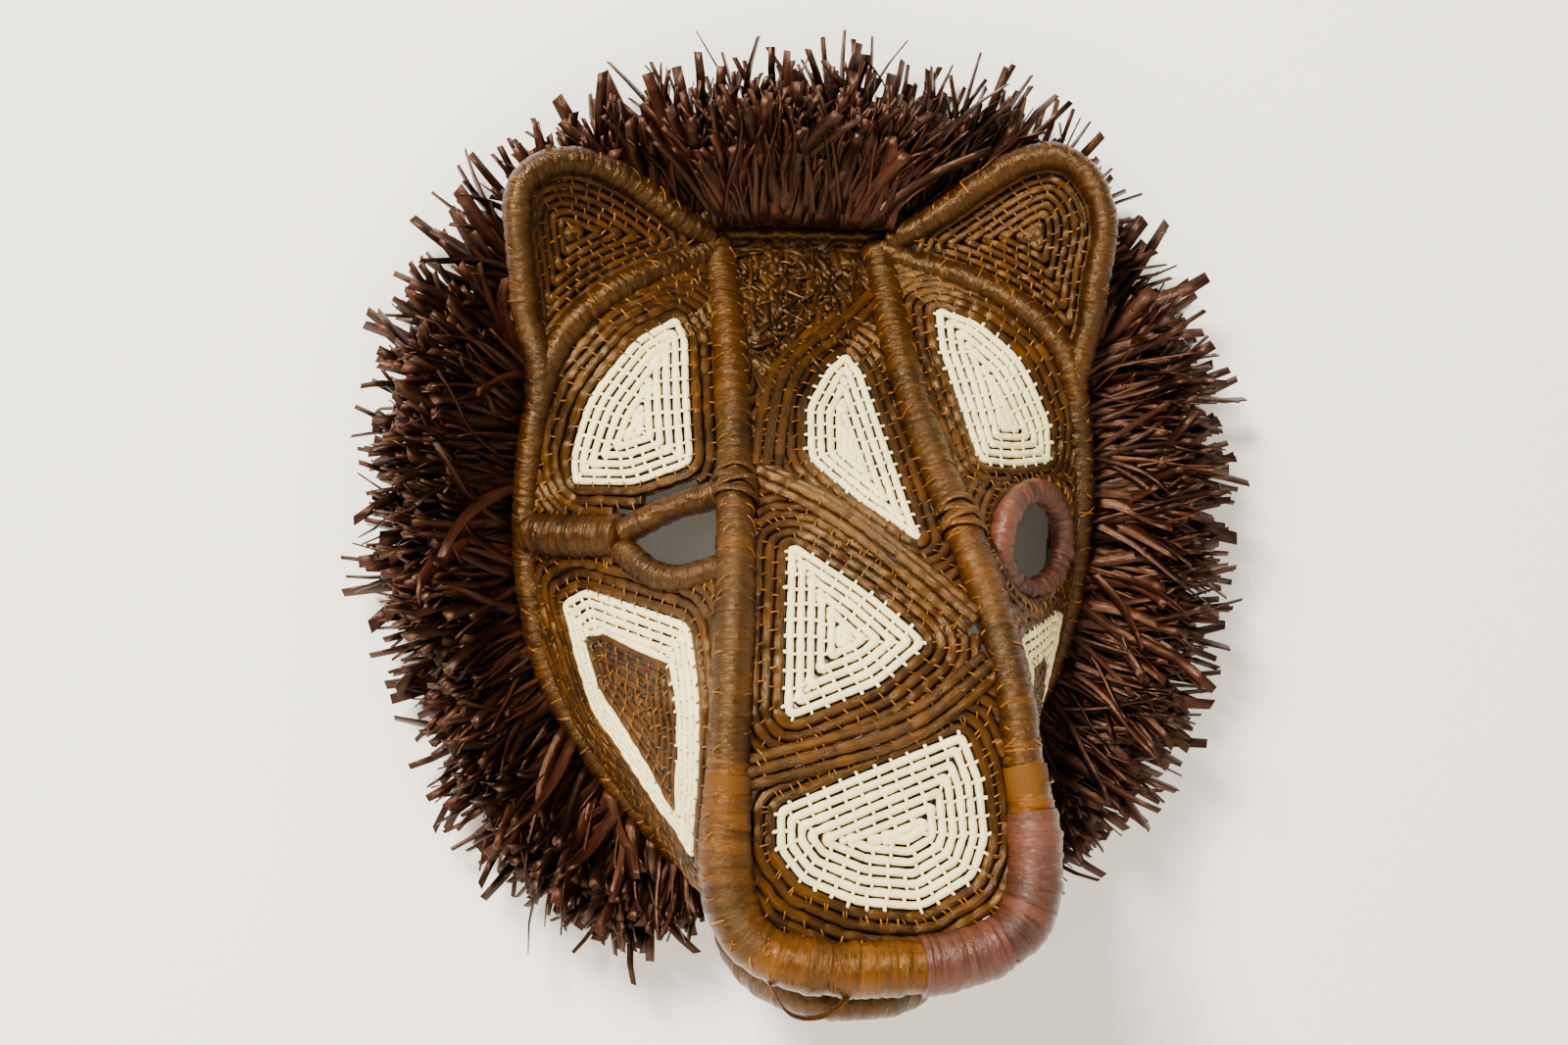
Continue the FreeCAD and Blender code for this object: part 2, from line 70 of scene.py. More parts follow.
# Routes of the rods. A half is the right side of a route that is the same on the left.
LOOSE_END = [(-41, 140, -238), (-37, 150, -247), (-33, 153, -254), (-24, 153, -255.5), (-17, 152, -252.5),
             (-12, 149, -248)]
RIDGE_ROUTE = [(30, 8.5, -11.5), (30, 35, -47), (33.5, 66, -84), (40.5, 107, -124),
               (45.5, 127, -157), (47.6, 132.5, -183.5)]
LIP_HALF = [(47.6, 132.6, -183.9), (50.5, 138, -213), (45, 143.5, -234), (22, 146.5, -243)]
HOOP_HALF = [(40, 17.5, -17.5), (58, 28.5, -23), (78, 37, -34), (94, 41, -51), (101, 35, -88),
             (101.5, 29, -124), (95, 25, -164), (78, 23, -193), (58, 22, -219), (32, 22, -246)]
RING_HALF = [(44, 0), (78, -17), (99, -50), (105, -95), (103, -140), (92, -178), (72, -210), (44, -240)]
JAW_HALF = [(29, 30.5, -254), (32, 62, -257), (27, 93, -260), (12, 109, -262)]
EAR_ROUTES = {
    "left": [(-34, 13, -9), (-45, 20, -4), (-62, 27, 8), (-80, 34, 15), (-93, 38, 14), (-104, 43, 6),
             (-105, 45, -7), (-103, 42, -24), (-102, 40, -40), (-97, 41, -54), (-97, 38, -66)],
    "right": [(34, 13, -9), (45, 20, -4), (61, 27, 8), (77, 32, 19), (92, 37, 21.5), (103, 42, 10),
              (106.5, 44, -6), (103, 42, -24), (102, 40, -40), (97, 41, -54), (97, 38, -66)],
}
HOOP_START = (31, 12, -12)

# The tips of the mane, as (across, up), and the point that the mane spreads from.
MANE_OUTLINE = [(40, -252), (84, -250), (125, -222), (150, -172), (158, -114), (153, -60), (132, -14),
                (103, 28), (58, 46), (0, 50), (-44, 42), (-84, 28), (-122, 0), (-147, -52), (-152, -110),
                (-137, -168), (-118, -226), (-82, -256), (-40, -258)]
MANE_CENTRE = np.array([0.0, -112.0])

# Outlines on the central face are (across, up); outlines on the sides are
# (share of the way from ridge to hoop, up).
ARCH_RIB = [(20.5, -33.5), (9, -43), (-5, -51), (-14, -61), (-19.5, -75), (-23.5, -88)]
UPPER_RIB = [(-24.5, -94.5), (-11, -101), (4, -111), (19, -125), (32.7, -137.7)]
LOWER_RIB = [(-38.5, -182.5), (-15, -177.5), (3, -173.5), (19, -167), (35.8, -155)]
CROWN_PANEL = [(-27, -6), (27, -6), (22, -29), (6, -41), (-9, -50), (-18.5, -62), (-24, -84)]
TEARDROP_REGION = [(25, -36), (9, -44), (-4, -53), (-13, -64), (-19, -78), (-22.5, -91.5), (-8, -101),
                   (6, -111), (20, -124), (36, -139), (31, -105), (27, -78)]
TEARDROP_PATCH = [(11.5, -50.5), (3, -57), (-6.5, -70), (-9.5, -88), (6, -102.5), (23.5, -115.5),
                  (20, -84), (16, -58)]
TRIANGLE_REGION = [(-29, -96), (-12, -101), (2, -111), (17, -125), (36, -143), (38, -153),
                   (19, -166), (2, -172), (-16, -177), (-42, -183), (-40, -150), (-33, -118)]
TRIANGLE_PATCH = [(-21.5, -113.5), (1, -128.5), (20, -145.5), (2, -158), (-30, -169), (-26.5, -140)]
MUZZLE_REGION = [(-42, -184), (-14, -179), (5, -175), (21, -168.5), (40, -156), (42, -184),
                 (44, -210), (39, -229), (18, -237), (-18, -237), (-39, -229), (-44, -210)]
MUZZLE_PATCH = [(-33, -194), (-8, -185), (28.5, -172.5), (34, -188), (35, -206), (30, -218),
                (12, -227), (-9, -224.5), (-26, -217), (-33.5, -207)]
FOREHEAD_PATCH = {
    "left": [(0.36, -38.5), (0.25, -46), (0.18, -90), (0.45, -97), (0.76, -97), (0.79, -88),
             (0.74, -66), (0.57, -46)],
    "right": [(0.35, -34), (0.24, -50), (0.26, -90), (0.5, -91.5), (0.76, -90), (0.79, -76),
              (0.71, -52), (0.57, -39)],
}
CHEEK_BAND = {
    "left": [(0.82, -137), (0.69, -131.5), (0.18, -139.5), (0.13, -165), (0.15, -190), (0.25, -216),
             (0.52, -200), (0.76, -175)],
    "right": [(0.86, -146), (0.69, -143), (0.19, -146), (0.13, -165), (0.15, -190), (0.25, -216),
              (0.52, -200), (0.76, -178)],
}
CHEEK_CENTER = {
    "left": [(0.71, -149), (0.61, -145.5), (0.27, -153), (0.24, -176), (0.33, -203), (0.47, -188),
             (0.66, -166)],
    "right": [(0.55, -158), (0.48, -155.5), (0.27, -158), (0.24, -178), (0.33, -203), (0.44, -190),
              (0.52, -172)],
}
FOREHEAD_REGION = [(-0.02, -12), (1.02, -12), (1.02, -107), (0.6, -107), (0.46, -104), (0.3, -98), (0.1, -94),
                   (-0.02, -93)]
RIGHT_FOREHEAD_REGION = [(-0.02, -12), (1.02, -12), (1.02, -99), (0.5, -96), (-0.02, -100)]
CHEEK_REGION = [(-0.02, -123), (0.13, -124), (0.32, -129.5), (0.44, -125), (0.56, -120.5), (1.02, -120.5),
                (1.02, -229), (-0.02, -229)]
RIGHT_CHEEK_REGION = [(-0.02, -133), (0.3, -138), (0.75, -138), (1.02, -131), (1.02, -229), (-0.02, -229)]
EYE_CENTRE_UP = -117.0
EYE_RING_ACROSS = 28.0
EYE_RING_UP = 18.5
EYE_RING_SHARE = 0.5
EYE_RING_CORNERS = 8
LEFT_BROW_BAR = [(0.97, -114), (0.72, -114.5), (0.5, -113.5)]
LEFT_UPPER_LID = [(0.5, -112.5), (0.28, -103.5), (0.04, -98.5)]
LEFT_LOWER_LID = [(0.5, -118), (0.3, -128.5), (0.04, -122)]
LID_SKIN = 1.3

# The weave. Halves are shares of the row pitch, the rest is in millimetres. The shadow row sizes are for a dark row
# sunk under each row, which is painted shade in the gaps between rows.
ROW_STYLES = {
    True: dict(pitch="patch_pitch", stitch="patch_stitch", half=0.405, thick=0.95, tone=0.5, spread=0.3,
               sway=0.1, shadow_row_half=0.52, shadow_row_drop=1.5),
    False: dict(pitch="border_pitch", stitch="border_stitch", half=0.47, thick=1.15, tone=0.42, spread=0.4,
                sway=0.3, shadow_row_half=0.56, shadow_row_drop=1.6),
}
ROW_PINCH = 0.2
# A dark row under each row of a panel: painted shade that darkens the gaps between rows.
SHADOW_ROW_THICK = 0.5
SHADOW_ROW_STITCH = 8.0
ROW_CELL = 0.6
FILL_CELL = 0.5
SHORTEST_ROW = 3.0
MITRE_REACH = 2

# Stitches, in metres.
PANEL_STITCH = dict(length=0.0041, width=0.0005, thickness=0.0004, arch=0.0008)
CREAM_STITCH = dict(length=0.0041, width=0.001, thickness=0.0006, arch=0.0007)
JAW_STITCH = dict(length=0.0042, width=0.0009, thickness=0.0007, arch=0.0009)
RIB_STITCH = dict(length=0.0052, width=0.0006, thickness=0.0004, arch=0.0012, unevenness=0.35)
EAR_STITCH = dict(length=0.0034, width=0.0005, thickness=0.0004, arch=0.0007, unevenness=0.4)
EDGE_STITCH = dict(length=0.0052, width=0.0005, thickness=0.0004, arch=0.0009, unevenness=0.4)

# The stage, in metres and degrees.
WALL_BACK = 0.0008
WALL_TOP = 1.6
WALL_REACH = 4.0
FLOOR_LEVEL = -0.75
FLOOR_FRONT = -3.0
SWEEP = 0.3
SWEEP_STEPS = 12
LIGHT_TARGET = (0, -0.05, -0.11)
LIGHTS = (("key_light", (-0.95, -1.45, 1.1), 0.5, 158), ("fill_light", (1.3, -1.7, 0.1), 1.6, 12))
LIGHT_COLOUR = (1.0, 0.965, 0.91)
WORLD_STRENGTH = 0.44
CAMERA_AIM = (0, -0.02, -0.112)
CAMERA_TURN = 12
CAMERA_RISE = 3
CAMERA_AWAY = 0.76
CAMERA_LENS = 48.0
CAMERA_SENSOR = 36.0
CAMERA_PAN = 0.0125


# ---------------------------------------------------------------- lines and surfaces

def places(route):
    """Row-frame points of a route of (across, forward, up)."""
    return np.array([(a, -f, u) for a, f, u in route], float)


def mirrored(half):
    """The left-hand half of a route, run backwards so that it follows on from the right."""
    return [(-a, *rest) for a, *rest in reversed(half)]


def unit(v):
    """Vectors at length one."""
    return v / np.maximum(np.linalg.norm(v, axis=-1, keepdims=True), 1e-9)


def bent(corners, closed=False):
    """A smooth line that touches the middle of each run between its corners."""
    corners = np.asarray(corners, float)
    if closed:
        corners = np.vstack([corners[-1], corners, corners[0]])
    t = np.linspace(0, 1, 24)[:, None]
    parts = [] if closed else [corners[:1]]
    for before, here, after in zip(corners, corners[1:], corners[2:]):
        start, end = (before + here) / 2, (here + after) / 2
        parts.append(start * (1 - t) ** 2 + here * 2 * t * (1 - t) + end * t**2)
    if not closed:
        parts.append(corners[-1:])
    return np.vstack(parts)


def paced(line, step, closed=False):
    """The same line with evenly spaced points."""
    if closed:
        line = np.vstack([line, line[:1]])
    gaps = np.linalg.norm(np.diff(line, axis=0), axis=1)
    line = line[np.concatenate([[True], gaps > 1e-6])]
    run = np.concatenate([[0], np.cumsum(np.linalg.norm(np.diff(line, axis=0), axis=1))])
    count = max(int(round(run[-1] / step)), 2)
    at = np.linspace(0, run[-1], count + 1)
    if closed:
        at = at[:-1]
    return np.stack([np.interp(at, run, line[:, k]) for k in range(line.shape[1])], 1)


def headings(line, closed=False):
    """Unit tangents along a line."""
    if closed:
        return unit(np.roll(line, -1, 0) - np.roll(line, 1, 0))
    return unit(np.gradient(line, axis=0))


def carried(line, closed=False):
    """Two unit vectors square to a line, carried along it without twist."""
    along = headings(line, closed)
    first = np.cross(along[0], (0.0, 0.0, 1.0) if abs(along[0][2]) < 0.9 else (0.0, 1.0, 0.0))
    sides = [first / np.linalg.norm(first)]
    for heading in along[1:]:
        side = sides[-1] - heading * (sides[-1] @ heading)
        sides.append(side / np.linalg.norm(side))
    sides = np.array(sides)
    if closed:
        last = sides[-1] - along[0] * (sides[-1] @ along[0])
        last /= np.linalg.norm(last)
        twist = math.atan2(np.cross(last, sides[0]) @ along[0], last @ sides[0])
        turn = np.linspace(0, twist, len(line))[:, None]
        sides = sides * np.cos(turn) + np.cross(along, sides) * np.sin(turn)
    return sides, np.cross(along, sides)


def at_level(line, up):
    """Where a falling line crosses heights: across and forward."""
    order = np.argsort(line[:, 2])
    z = line[order, 2]
    return np.interp(up, z, line[order, 0]), -np.interp(up, z, line[order, 1])


RIDGE_LINE = bent(places(RIDGE_ROUTE + LIP_HALF[1:]))
HOOP_LINE = bent(places(HOOP_HALF))
RING_LINE = bent(places([(a, RING_FORWARD, u) for a, u in RING_HALF]))
RING_LOOP = bent(places([(a, RING_FORWARD, u) for a, u in RING_HALF + mirrored(RING_HALF)]), closed=True)


def on_centre(across, up):
    """Points on the face between the ridges."""
    across, up = np.broadcast_arrays(np.asarray(across, float), np.asarray(up, float))
    return np.stack([across, -at_level(RIDGE_LINE, up)[1], up], -1)


def on_side(share, up, sign):
    """Points on the face between a ridge and the hoop."""
    share, up = np.broadcast_arrays(np.asarray(share, float), np.asarray(up, float))
    ridge = np.stack(at_level(RIDGE_LINE, up), -1)
    hoop = np.stack(at_level(HOOP_LINE, up), -1)
    across = hoop - ridge
    outward = unit(np.stack([-across[..., 1], across[..., 0]], -1))
    bulge = 4 * SIDE_BULGE * share * (1 - share)
    place = ridge + across * share[..., None] + outward * bulge[..., None]
    return np.stack([sign * place[..., 0], -place[..., 1], up], -1)


class Chart:
    """A flat, nearly true-to-size map of a curved panel."""

    def __init__(self, spot, outward):
        self.spot = spot
        self.outward = outward

    def place(self, flat):
        """Points and outward normals of the panel at flat places."""
        nudge = 0.6
        right = self.spot(flat + (nudge, 0)) - self.spot(flat - (nudge, 0))
        rise = self.spot(flat + (0, nudge)) - self.spot(flat - (0, nudge))
        normal = unit(np.cross(right, rise))
        flip = np.sign(np.sum(normal * np.asarray(self.outward, float), axis=1, keepdims=True))
        return self.spot(flat), normal * np.where(flip == 0, 1, flip)


LEVELS = np.linspace(-4, -246, 400)


def run_along(points):
    """Distances along a line of points."""
    return np.concatenate([[0], np.cumsum(np.linalg.norm(np.diff(points, axis=0), axis=1))])


CENTRE_RUN = run_along(on_centre(0, LEVELS))
SIDE_RUN = run_along(on_side(0.45, LEVELS, 1))


def centre_chart():
    """The map of the face between the ridges: across, and distance down the profile."""
    return Chart(lambda q: on_centre(q[:, 0], np.interp(-q[:, 1], CENTRE_RUN, LEVELS)), (0, -1, 0.3))


def centre_flat(outline):
    """Central outline points on that map."""
    outline = np.asarray(outline, float)
    return np.stack([outline[:, 0], -np.interp(-outline[:, 1], -LEVELS, CENTRE_RUN)], 1)


def side_width(up):
    """Distance from ridge to hoop at a height."""
    ridge, hoop = np.stack(at_level(RIDGE_LINE, up), -1), np.stack(at_level(HOOP_LINE, up), -1)
    return np.linalg.norm(hoop - ridge, axis=-1)


def side_chart(sign):
    """The map of one side: distance out from the ridge, and distance down."""
    def spot(q):
        up = np.interp(-q[:, 1], SIDE_RUN, LEVELS)
        return on_side(q[:, 0] / side_width(up), up, sign)
    return Chart(spot, (sign * 0.7, -0.7, 0))


def side_flat(outline, dense=False):
    """Side outline points on that map."""
    outline = np.asarray(outline, float)
    if dense:
        t = np.linspace(0, 1, 12, endpoint=False)[:, None]
        outline = np.vstack([a + (b - a) * t for a, b in zip(outline, np.roll(outline, -1, 0))])
    down = np.interp(-outline[:, 1], -LEVELS, SIDE_RUN)
    return np.stack([outline[:, 0] * side_width(outline[:, 1]), -down], 1)


def rounded(outline, share=0.2):
    """A closed outline with its corners eased."""
    outline = np.asarray(outline, float)
    t = np.linspace(0, 1, 6)[:, None]
    parts = []
    for before, here, after in zip(np.roll(outline, 1, 0), outline, np.roll(outline, -1, 0)):
        reach = share * min(np.linalg.norm(before - here), np.linalg.norm(after - here))
        start = here + unit(before - here) * reach
        end = here + unit(after - here) * reach
        parts.append(start * (1 - t) ** 2 + here * 2 * t * (1 - t) + end * t**2)
    return paced(np.vstack(parts), 1.5, closed=True)


def inside(outline, spots):
    """Whether spots lie in a closed outline."""
    x, y = spots[:, 0][:, None], spots[:, 1][:, None]
    a, b = outline, np.roll(outline, -1, 0)
    spans = (a[:, 1] > y) != (b[:, 1] > y)
    with np.errstate(divide="ignore", invalid="ignore"):
        cross = a[:, 0] + (y - a[:, 1]) * (b[:, 0] - a[:, 0]) / (b[:, 1] - a[:, 1])
    return np.sum(spans & (x < cross), axis=1) % 2 == 1


def nearest(outline, spots):
    """Distance to a closed outline and how far round it the nearest place is."""
    a = outline
    edge = np.roll(outline, -1, 0) - a
    length = np.maximum(np.linalg.norm(edge, axis=1), 1e-9)
    start = np.concatenate([[0], np.cumsum(length)[:-1]])
    offset = spots[:, None] - a
    share = np.clip(np.sum(offset * edge, axis=2) / length**2, 0, 1)
    gap = np.linalg.norm(offset - edge * share[..., None], axis=2)
    best = np.argmin(gap, axis=1)
    pick = np.arange(len(spots))
    return gap[pick, best], start[best] + share[pick, best] * length[best]


def level_lines(field, level, open_cells):
    """Lines of equal value through a grid, as lists of (column, row) in grid steps."""
    high = field > level
    mixed = np.zeros_like(open_cells)
    corner = high[:-1, :-1]
    mixed |= (corner != high[1:, :-1]) | (corner != high[:-1, 1:]) | (corner != high[1:, 1:])
    links = {}
    spots = {}
    for r, c in zip(*np.nonzero(mixed & open_cells)):
        cuts = []
        ends = ((r, c, r, c + 1), (r, c + 1, r + 1, c + 1), (r + 1, c, r + 1, c + 1), (r, c, r + 1, c))
        for r0, c0, r1, c1 in ends:
            if high[r0, c0] != high[r1, c1]:
                key = (r0, c0, r1, c1)
                share = (level - field[r0, c0]) / (field[r1, c1] - field[r0, c0])
                spots[key] = (c0 + (c1 - c0) * share, r0 + (r1 - r0) * share)
                cuts.append(key)
        for one, other in zip(cuts[::2], cuts[1::2]):
            links.setdefault(one, []).append(other)
            links.setdefault(other, []).append(one)
    lines = []
    loose = [key for key in links if len(links[key]) == 1]
    for start in loose + list(links):
        if start not in links:
            continue
        chain = [start]
        closed = False
        while True:
            here = chain[-1]
            onward = [k for k in links.pop(here, []) if k in links]
            if not onward:
                break
            chain.append(onward[0])
        closed = len(chain) > 3 and start not in loose
        lines.append((np.array([spots[k] for k in chain]), closed))
    return lines


# ---------------------------------------------------------------- meshes

class Weave:
    """Tubes and sheets gathered into one mesh."""

    def __init__(self):
        self.verts, self.faces, self.uvs, self.tones = [], [], [], []
        self.count = 0

    def add(self, verts, faces, uvs, tones):
        """Takes in points, faces, a place on the strip for each face corner, and a tone for each point."""
        self.verts.append(verts)
        self.faces += (np.asarray(faces) + self.count).tolist() if len(faces) else []
        self.uvs.append(uvs)
        self.tones.append(tones)
        self.count += len(verts)

    def rings(self, rings, run, girth, closed, tones):
        """A skin over rings of points (ring, place round, xyz), with closed ends."""
        n, m = rings.shape[:2]
        last = n if closed else n - 1
        i, j = np.meshgrid(np.arange(last), np.arange(m), indexing="ij")
        i2, j2 = (i + 1) % n, (j + 1) % m
        faces = np.stack([i * m + j, i * m + j2, i2 * m + j2, i2 * m + j], -1).reshape(-1, 4)
        run = np.append(run, run[-1] + run[1] - run[0]) if closed else run
        u0, u1 = run[i], run[i + 1]
        v0, v1 = girth * j / m, girth * (j + 1) / m
        uvs = np.stack([np.stack([u0, v0], -1), np.stack([u0, v1], -1),
                        np.stack([u1, v1], -1), np.stack([u1, v0], -1)], -2).reshape(-1, 2)
        tones = np.broadcast_to(np.asarray(tones, float).reshape(n, -1), (n, m)).reshape(-1)
        self.add(rings.reshape(-1, 3), faces, uvs, tones)
        if closed:
            return
        for ring, start, turn in ((rings[0], self.count - n * m, 1), (rings[-1], self.count - m, -1)):
            pole = ring.mean(0, keepdims=True)
            base = self.count
            caps = [[base, start + (k + 1) % m, start + k][::turn] for k in range(m)]
            self.verts.append(pole)
            self.faces += caps
            self.uvs.append(np.zeros((3 * m, 2)))
            self.tones.append(tones[:1])
            self.count += 1

    def mesh(self, name):
        """The gathered mesh, in metres."""
        verts = np.vstack(self.verts) * MM
        mesh = bpy.data.meshes.new(name)
        mesh.from_pydata(verts.tolist(), [], self.faces)
        layer = mesh.uv_layers.new(name="UVMap")
        layer.data.foreach_set("uv", (np.vstack(self.uvs) * MM).astype(np.float32).ravel())
        tone = mesh.attributes.new("tone", "FLOAT", "POINT")
        tone.data.foreach_set("value", np.concatenate(self.tones).astype(np.float32))
        mesh.polygons.foreach_set("use_smooth", [True] * len(mesh.polygons))
        mesh.update()
        return mesh


def tube(weave, line, wide, thick=None, out=None, closed=False, sides=8, tones=0.5, square=1.0):
    """A rod, or a flattened strip lying with its face to `out`, along a line."""
    if out is None:
        first, second = carried(line, closed)
    else:
        along = headings(line, closed)
        first = unit(np.cross(along, out))
        second = np.cross(first, along)
        # The ring runs the same way round as a carried one, so that its faces point outwards.
        first = -first
    thick = wide if thick is None else thick
    angle = np.linspace(0, 2 * np.pi, sides, endpoint=False)
    c, s = np.cos(angle), np.sin(angle)
    c, s = np.sign(c) * abs(c) ** square, np.sign(s) * abs(s) ** square
    wide = np.broadcast_to(np.asarray(wide, float).reshape(-1, 1) if np.ndim(wide) < 2 else wide,
                           (len(line), sides))
    thick = np.broadcast_to(np.asarray(thick, float).reshape(-1, 1) if np.ndim(thick) < 2 else thick,
                            (len(line), sides))
    rings = line[:, None] + first[:, None] * (c * wide)[..., None] + second[:, None] * (s * thick)[..., None]
    run = run_along(np.vstack([line, line[:1]]) if closed else line)[:len(line)]
    girth = 2 * np.pi * (wide.mean() + thick.mean()) / 2
    if np.ndim(tones) == 0:
        tones = np.full(len(line), tones)
    weave.rings(rings, run, girth, closed, tones)


def waves(run, rng, lengths, size):
    """A smooth uneven value along a run: a few waves of the given lengths."""
    total = np.zeros_like(run)
    for length in lengths:
        total += np.sin(run * (2 * np.pi / (length * rng.uniform(0.8, 1.25))) + rng.uniform(0, 2 * np.pi))
    return total * (size / len(lengths))


def wound(weave, line, radius, rng, closed=False, strip=2.9, sides=26, step=0.45, swell=0.34):
    """A rod wound with a flat strip, each turn lapping the last."""
    line = paced(line, step, closed)
    first, second = carried(line, closed)
    run = run_along(line)
    reel = run + waves(run, rng, (6.0, 11.0, 19.0, 37.0), 2.6)
    if closed:
        reel = run * round(run[-1] / strip) * strip / (run[-1] + step)
    angle = np.linspace(0, 2 * np.pi, sides, endpoint=False)
    turn = reel[:, None] / strip + angle[None, :] / (2 * np.pi) * 0.9
    number = np.floor(turn).astype(int)
    share = turn - number
    pick = rng.beta(2.0, 2.0, size=number.max() + 2 - min(number.min(), 0))
    thick = pick[number]
    crown = np.sqrt(np.clip(1 - (2 * share - 1) ** 2, 0, 1))
    lap = swell * ((0.15 + thick) * crown * 0.9 + (0.2 + thick) * 0.7 * (1 - share) - 0.9)
    lump = waves(run, rng, (14.0, 27.0, 60.0), 0.3)[:, None]
    lump = lump + 0.16 * np.sin(angle * 2 + waves(run, rng, (8.0, 21.0), 4.0)[:, None])
    radius = np.interp(line[:, 2], LIP_BLEND, (LIP_RADIUS, RIDGE_RADIUS))[:, None] + radius - LIP_RADIUS \
        if radius >= LIP_RADIUS else radius
    size = radius + lap + lump
    rings = line[:, None] + (first[:, None] * np.cos(angle)[:, None] + second[:, None] * np.sin(angle)[:,
                                                                                                       None]) * size[..., None]
    weave.rings(rings, run, 2 * np.pi * float(np.mean(radius)), closed, pick[::-1][number])


def coil(weave, line, out, rng, closed, half, thick, stitch, pinch, stitches=None, tone=0.5, spread=0.25,
         shift=0.0, beat=None):
    """One stitched row of a panel, drawn in at every stitch.

    `beat` counts stitches along the row where they have to line up with the next row's.
    """
    run = run_along(np.vstack([line, line[:1]]) if closed else line)
    length = run[-1]
    run = run[:len(line)]
    if beat is None:
        beat = run / (length / max(int(round(length / stitch)), 1)) + shift
    phase = beat % 1.0
    full = np.sin(np.pi * phase) ** 0.55 if pinch else np.ones_like(phase)
    cell = np.floor(beat).astype(int)
    cell -= cell.min()
    pick = rng.uniform(-1, 1, size=cell.max() + 2)
    wide = half * (1 - pinch * (1 - full)) * (1 + 0.09 * pick[cell] * full) * mitre(line, closed)
    deep = thick * (1 - 0.55 * pinch * (1 - full)) * (1 + 0.12 * pick[::-1][cell] * full)
    lift = waves(run, rng, (7.0, 23.0, 41.0), 0.3) + 0.12 * pick[cell]
    tones = np.clip(tone + spread * pick[cell], 0, 1)
    lifted = line + out * lift[:, None]
    tube(weave, lifted, wide, deep, out, closed, 8, tones, 0.8)
    if stitches is None:
        return
    along = headings(line, closed)
    side = unit(np.cross(along, out))
    last = -stitch
    for k in np.nonzero(np.diff(cell))[0] + 1:
        if run[k] - last > 0.45 * stitch:
            stitches.append((lifted[k], side[k], out[k], along[k]))
            last = run[k]


def mitre(line, closed):
    """How much broader a strip has to be at a sharp corner to fill it."""
    along = headings(line, closed)
    if len(line) < 4 * MITRE_REACH:
        return np.ones(len(line))
    dot = np.sum(np.roll(along, MITRE_REACH, 0) * np.roll(along, -MITRE_REACH, 0), axis=1)
    if not closed:
        dot[:MITRE_REACH] = dot[-MITRE_REACH:] = 1.0
    widening = 1 / np.maximum(np.sqrt(np.clip((1 + dot) / 2, 0, 1)), 0.5)
    return (np.roll(widening, 1) + widening + np.roll(widening, -1)) / 3


def clumps(cells):
    """Groups of grid cells that touch."""
    left = {tuple(cell) for cell in cells}
    groups = []
    while left:
        group, edge = [], [left.pop()]
        while edge:
            r, c = edge.pop()
            group.append((r, c))
            for near in ((r + 1, c), (r - 1, c), (r, c + 1), (r, c - 1), (r + 1, c + 1), (r - 1, c - 1),
                         (r + 1, c - 1), (r - 1, c + 1)):
                if near in left:
                    left.remove(near)
                    edge.append(near)
        groups.append(np.array(group, float))
    return groups


def fill_gaps(weave, chart, heart, hole, lines, pitch, rng):
    """Short strands in the places inside a patch that no row reaches."""
    low, high = heart.min(0), heart.max(0)
    x, y = np.arange(low[0], high[0], FILL_CELL), np.arange(low[1], high[1], FILL_CELL)
    grid = np.stack(np.meshgrid(x, y), -1).reshape(-1, 2)
    keep = inside(heart, grid)
    if hole is not None:
        keep &= ~inside(hole, grid)
    index = np.nonzero(keep)[0]
    spots = np.vstack(lines)
    gap = np.min(np.linalg.norm(grid[index][:, None] - spots[None], axis=2), axis=1)
    bare = index[gap > 0.6 * pitch]
    for group in clumps(np.stack([bare // len(x), bare % len(x)], 1)):
        if len(group) < 5:
            continue
        flat = np.stack([low[0] + group[:, 1] * FILL_CELL, low[1] + group[:, 0] * FILL_CELL], 1)
        middle = flat.mean(0)
        spread, axes = np.linalg.eigh(np.cov((flat - middle).T) + np.eye(2) * 1e-4)
        far = (flat - middle) @ axes[:, 1]
        line = middle + np.outer(np.linspace(far.min() - 0.4, far.max() + 0.4, 6), axes[:, 1])
        place, out = chart.place(line)
        half = np.array([0.5, 0.9, 1.0, 1.0, 0.9, 0.5]) * (2 * math.sqrt(spread[0]) + 0.55)
        tube(weave, place - out * 0.15, half, 0.9, out, False, 8, rng.uniform(0.2, 0.8), 0.8)


def relaxed(line, closed):
    """A line with its small kinks eased out."""
    if closed:
        return (np.roll(line, 1, 0) + 2 * line + np.roll(line, -1, 0)) / 4
    if len(line) > 3:
        return np.vstack([line[:1], (line[:-2] + 2 * line[1:-1] + line[2:]) / 4, line[-1:]])
    return line


def rows(region, heart, pitch_in, pitch_out, hole=None):
    """The rows of a panel, as flat lines of even distance from the patch at its heart.

    Gives (inner, number, line, closed) for each. Rows inside the patch are inner ones.
    """
    low, high = region.min(0) - 1, region.max(0) + 1
    x = np.arange(low[0], high[0], ROW_CELL)
    y = np.arange(low[1], high[1], ROW_CELL)
    grid = np.stack(np.meshgrid(x, y), -1).reshape(-1, 2)
    gap, _ = nearest(heart, grid)
    field = np.where(inside(heart, grid), gap, -gap).reshape(len(y), len(x))
    keep = inside(region, grid)
    if hole is not None:
        keep &= ~inside(hole, grid)
    keep = keep.reshape(len(y), len(x))
    cells = keep[:-1, :-1] & keep[1:, :-1] & keep[:-1, 1:] & keep[1:, 1:]
    found = []
    for inner, pitch, sign, most in ((True, pitch_in, 1, field.max()), (False, pitch_out, -1, -field.min())):
        for number in range(int(most / pitch) + 1):
            level = sign * (number + 0.5) * pitch
            if inner and level > most - 0.25 * pitch:
                level = most - 0.35 * pitch
            for line, closed in level_lines(field, level, cells):
                flat = np.stack([low[0] + line[:, 0] * ROW_CELL, low[1] + line[:, 1] * ROW_CELL], 1)
                if len(flat) < 4 or run_along(flat)[-1] < SHORTEST_ROW:
                    continue
                found.append((inner, number, flat, closed))
    return found


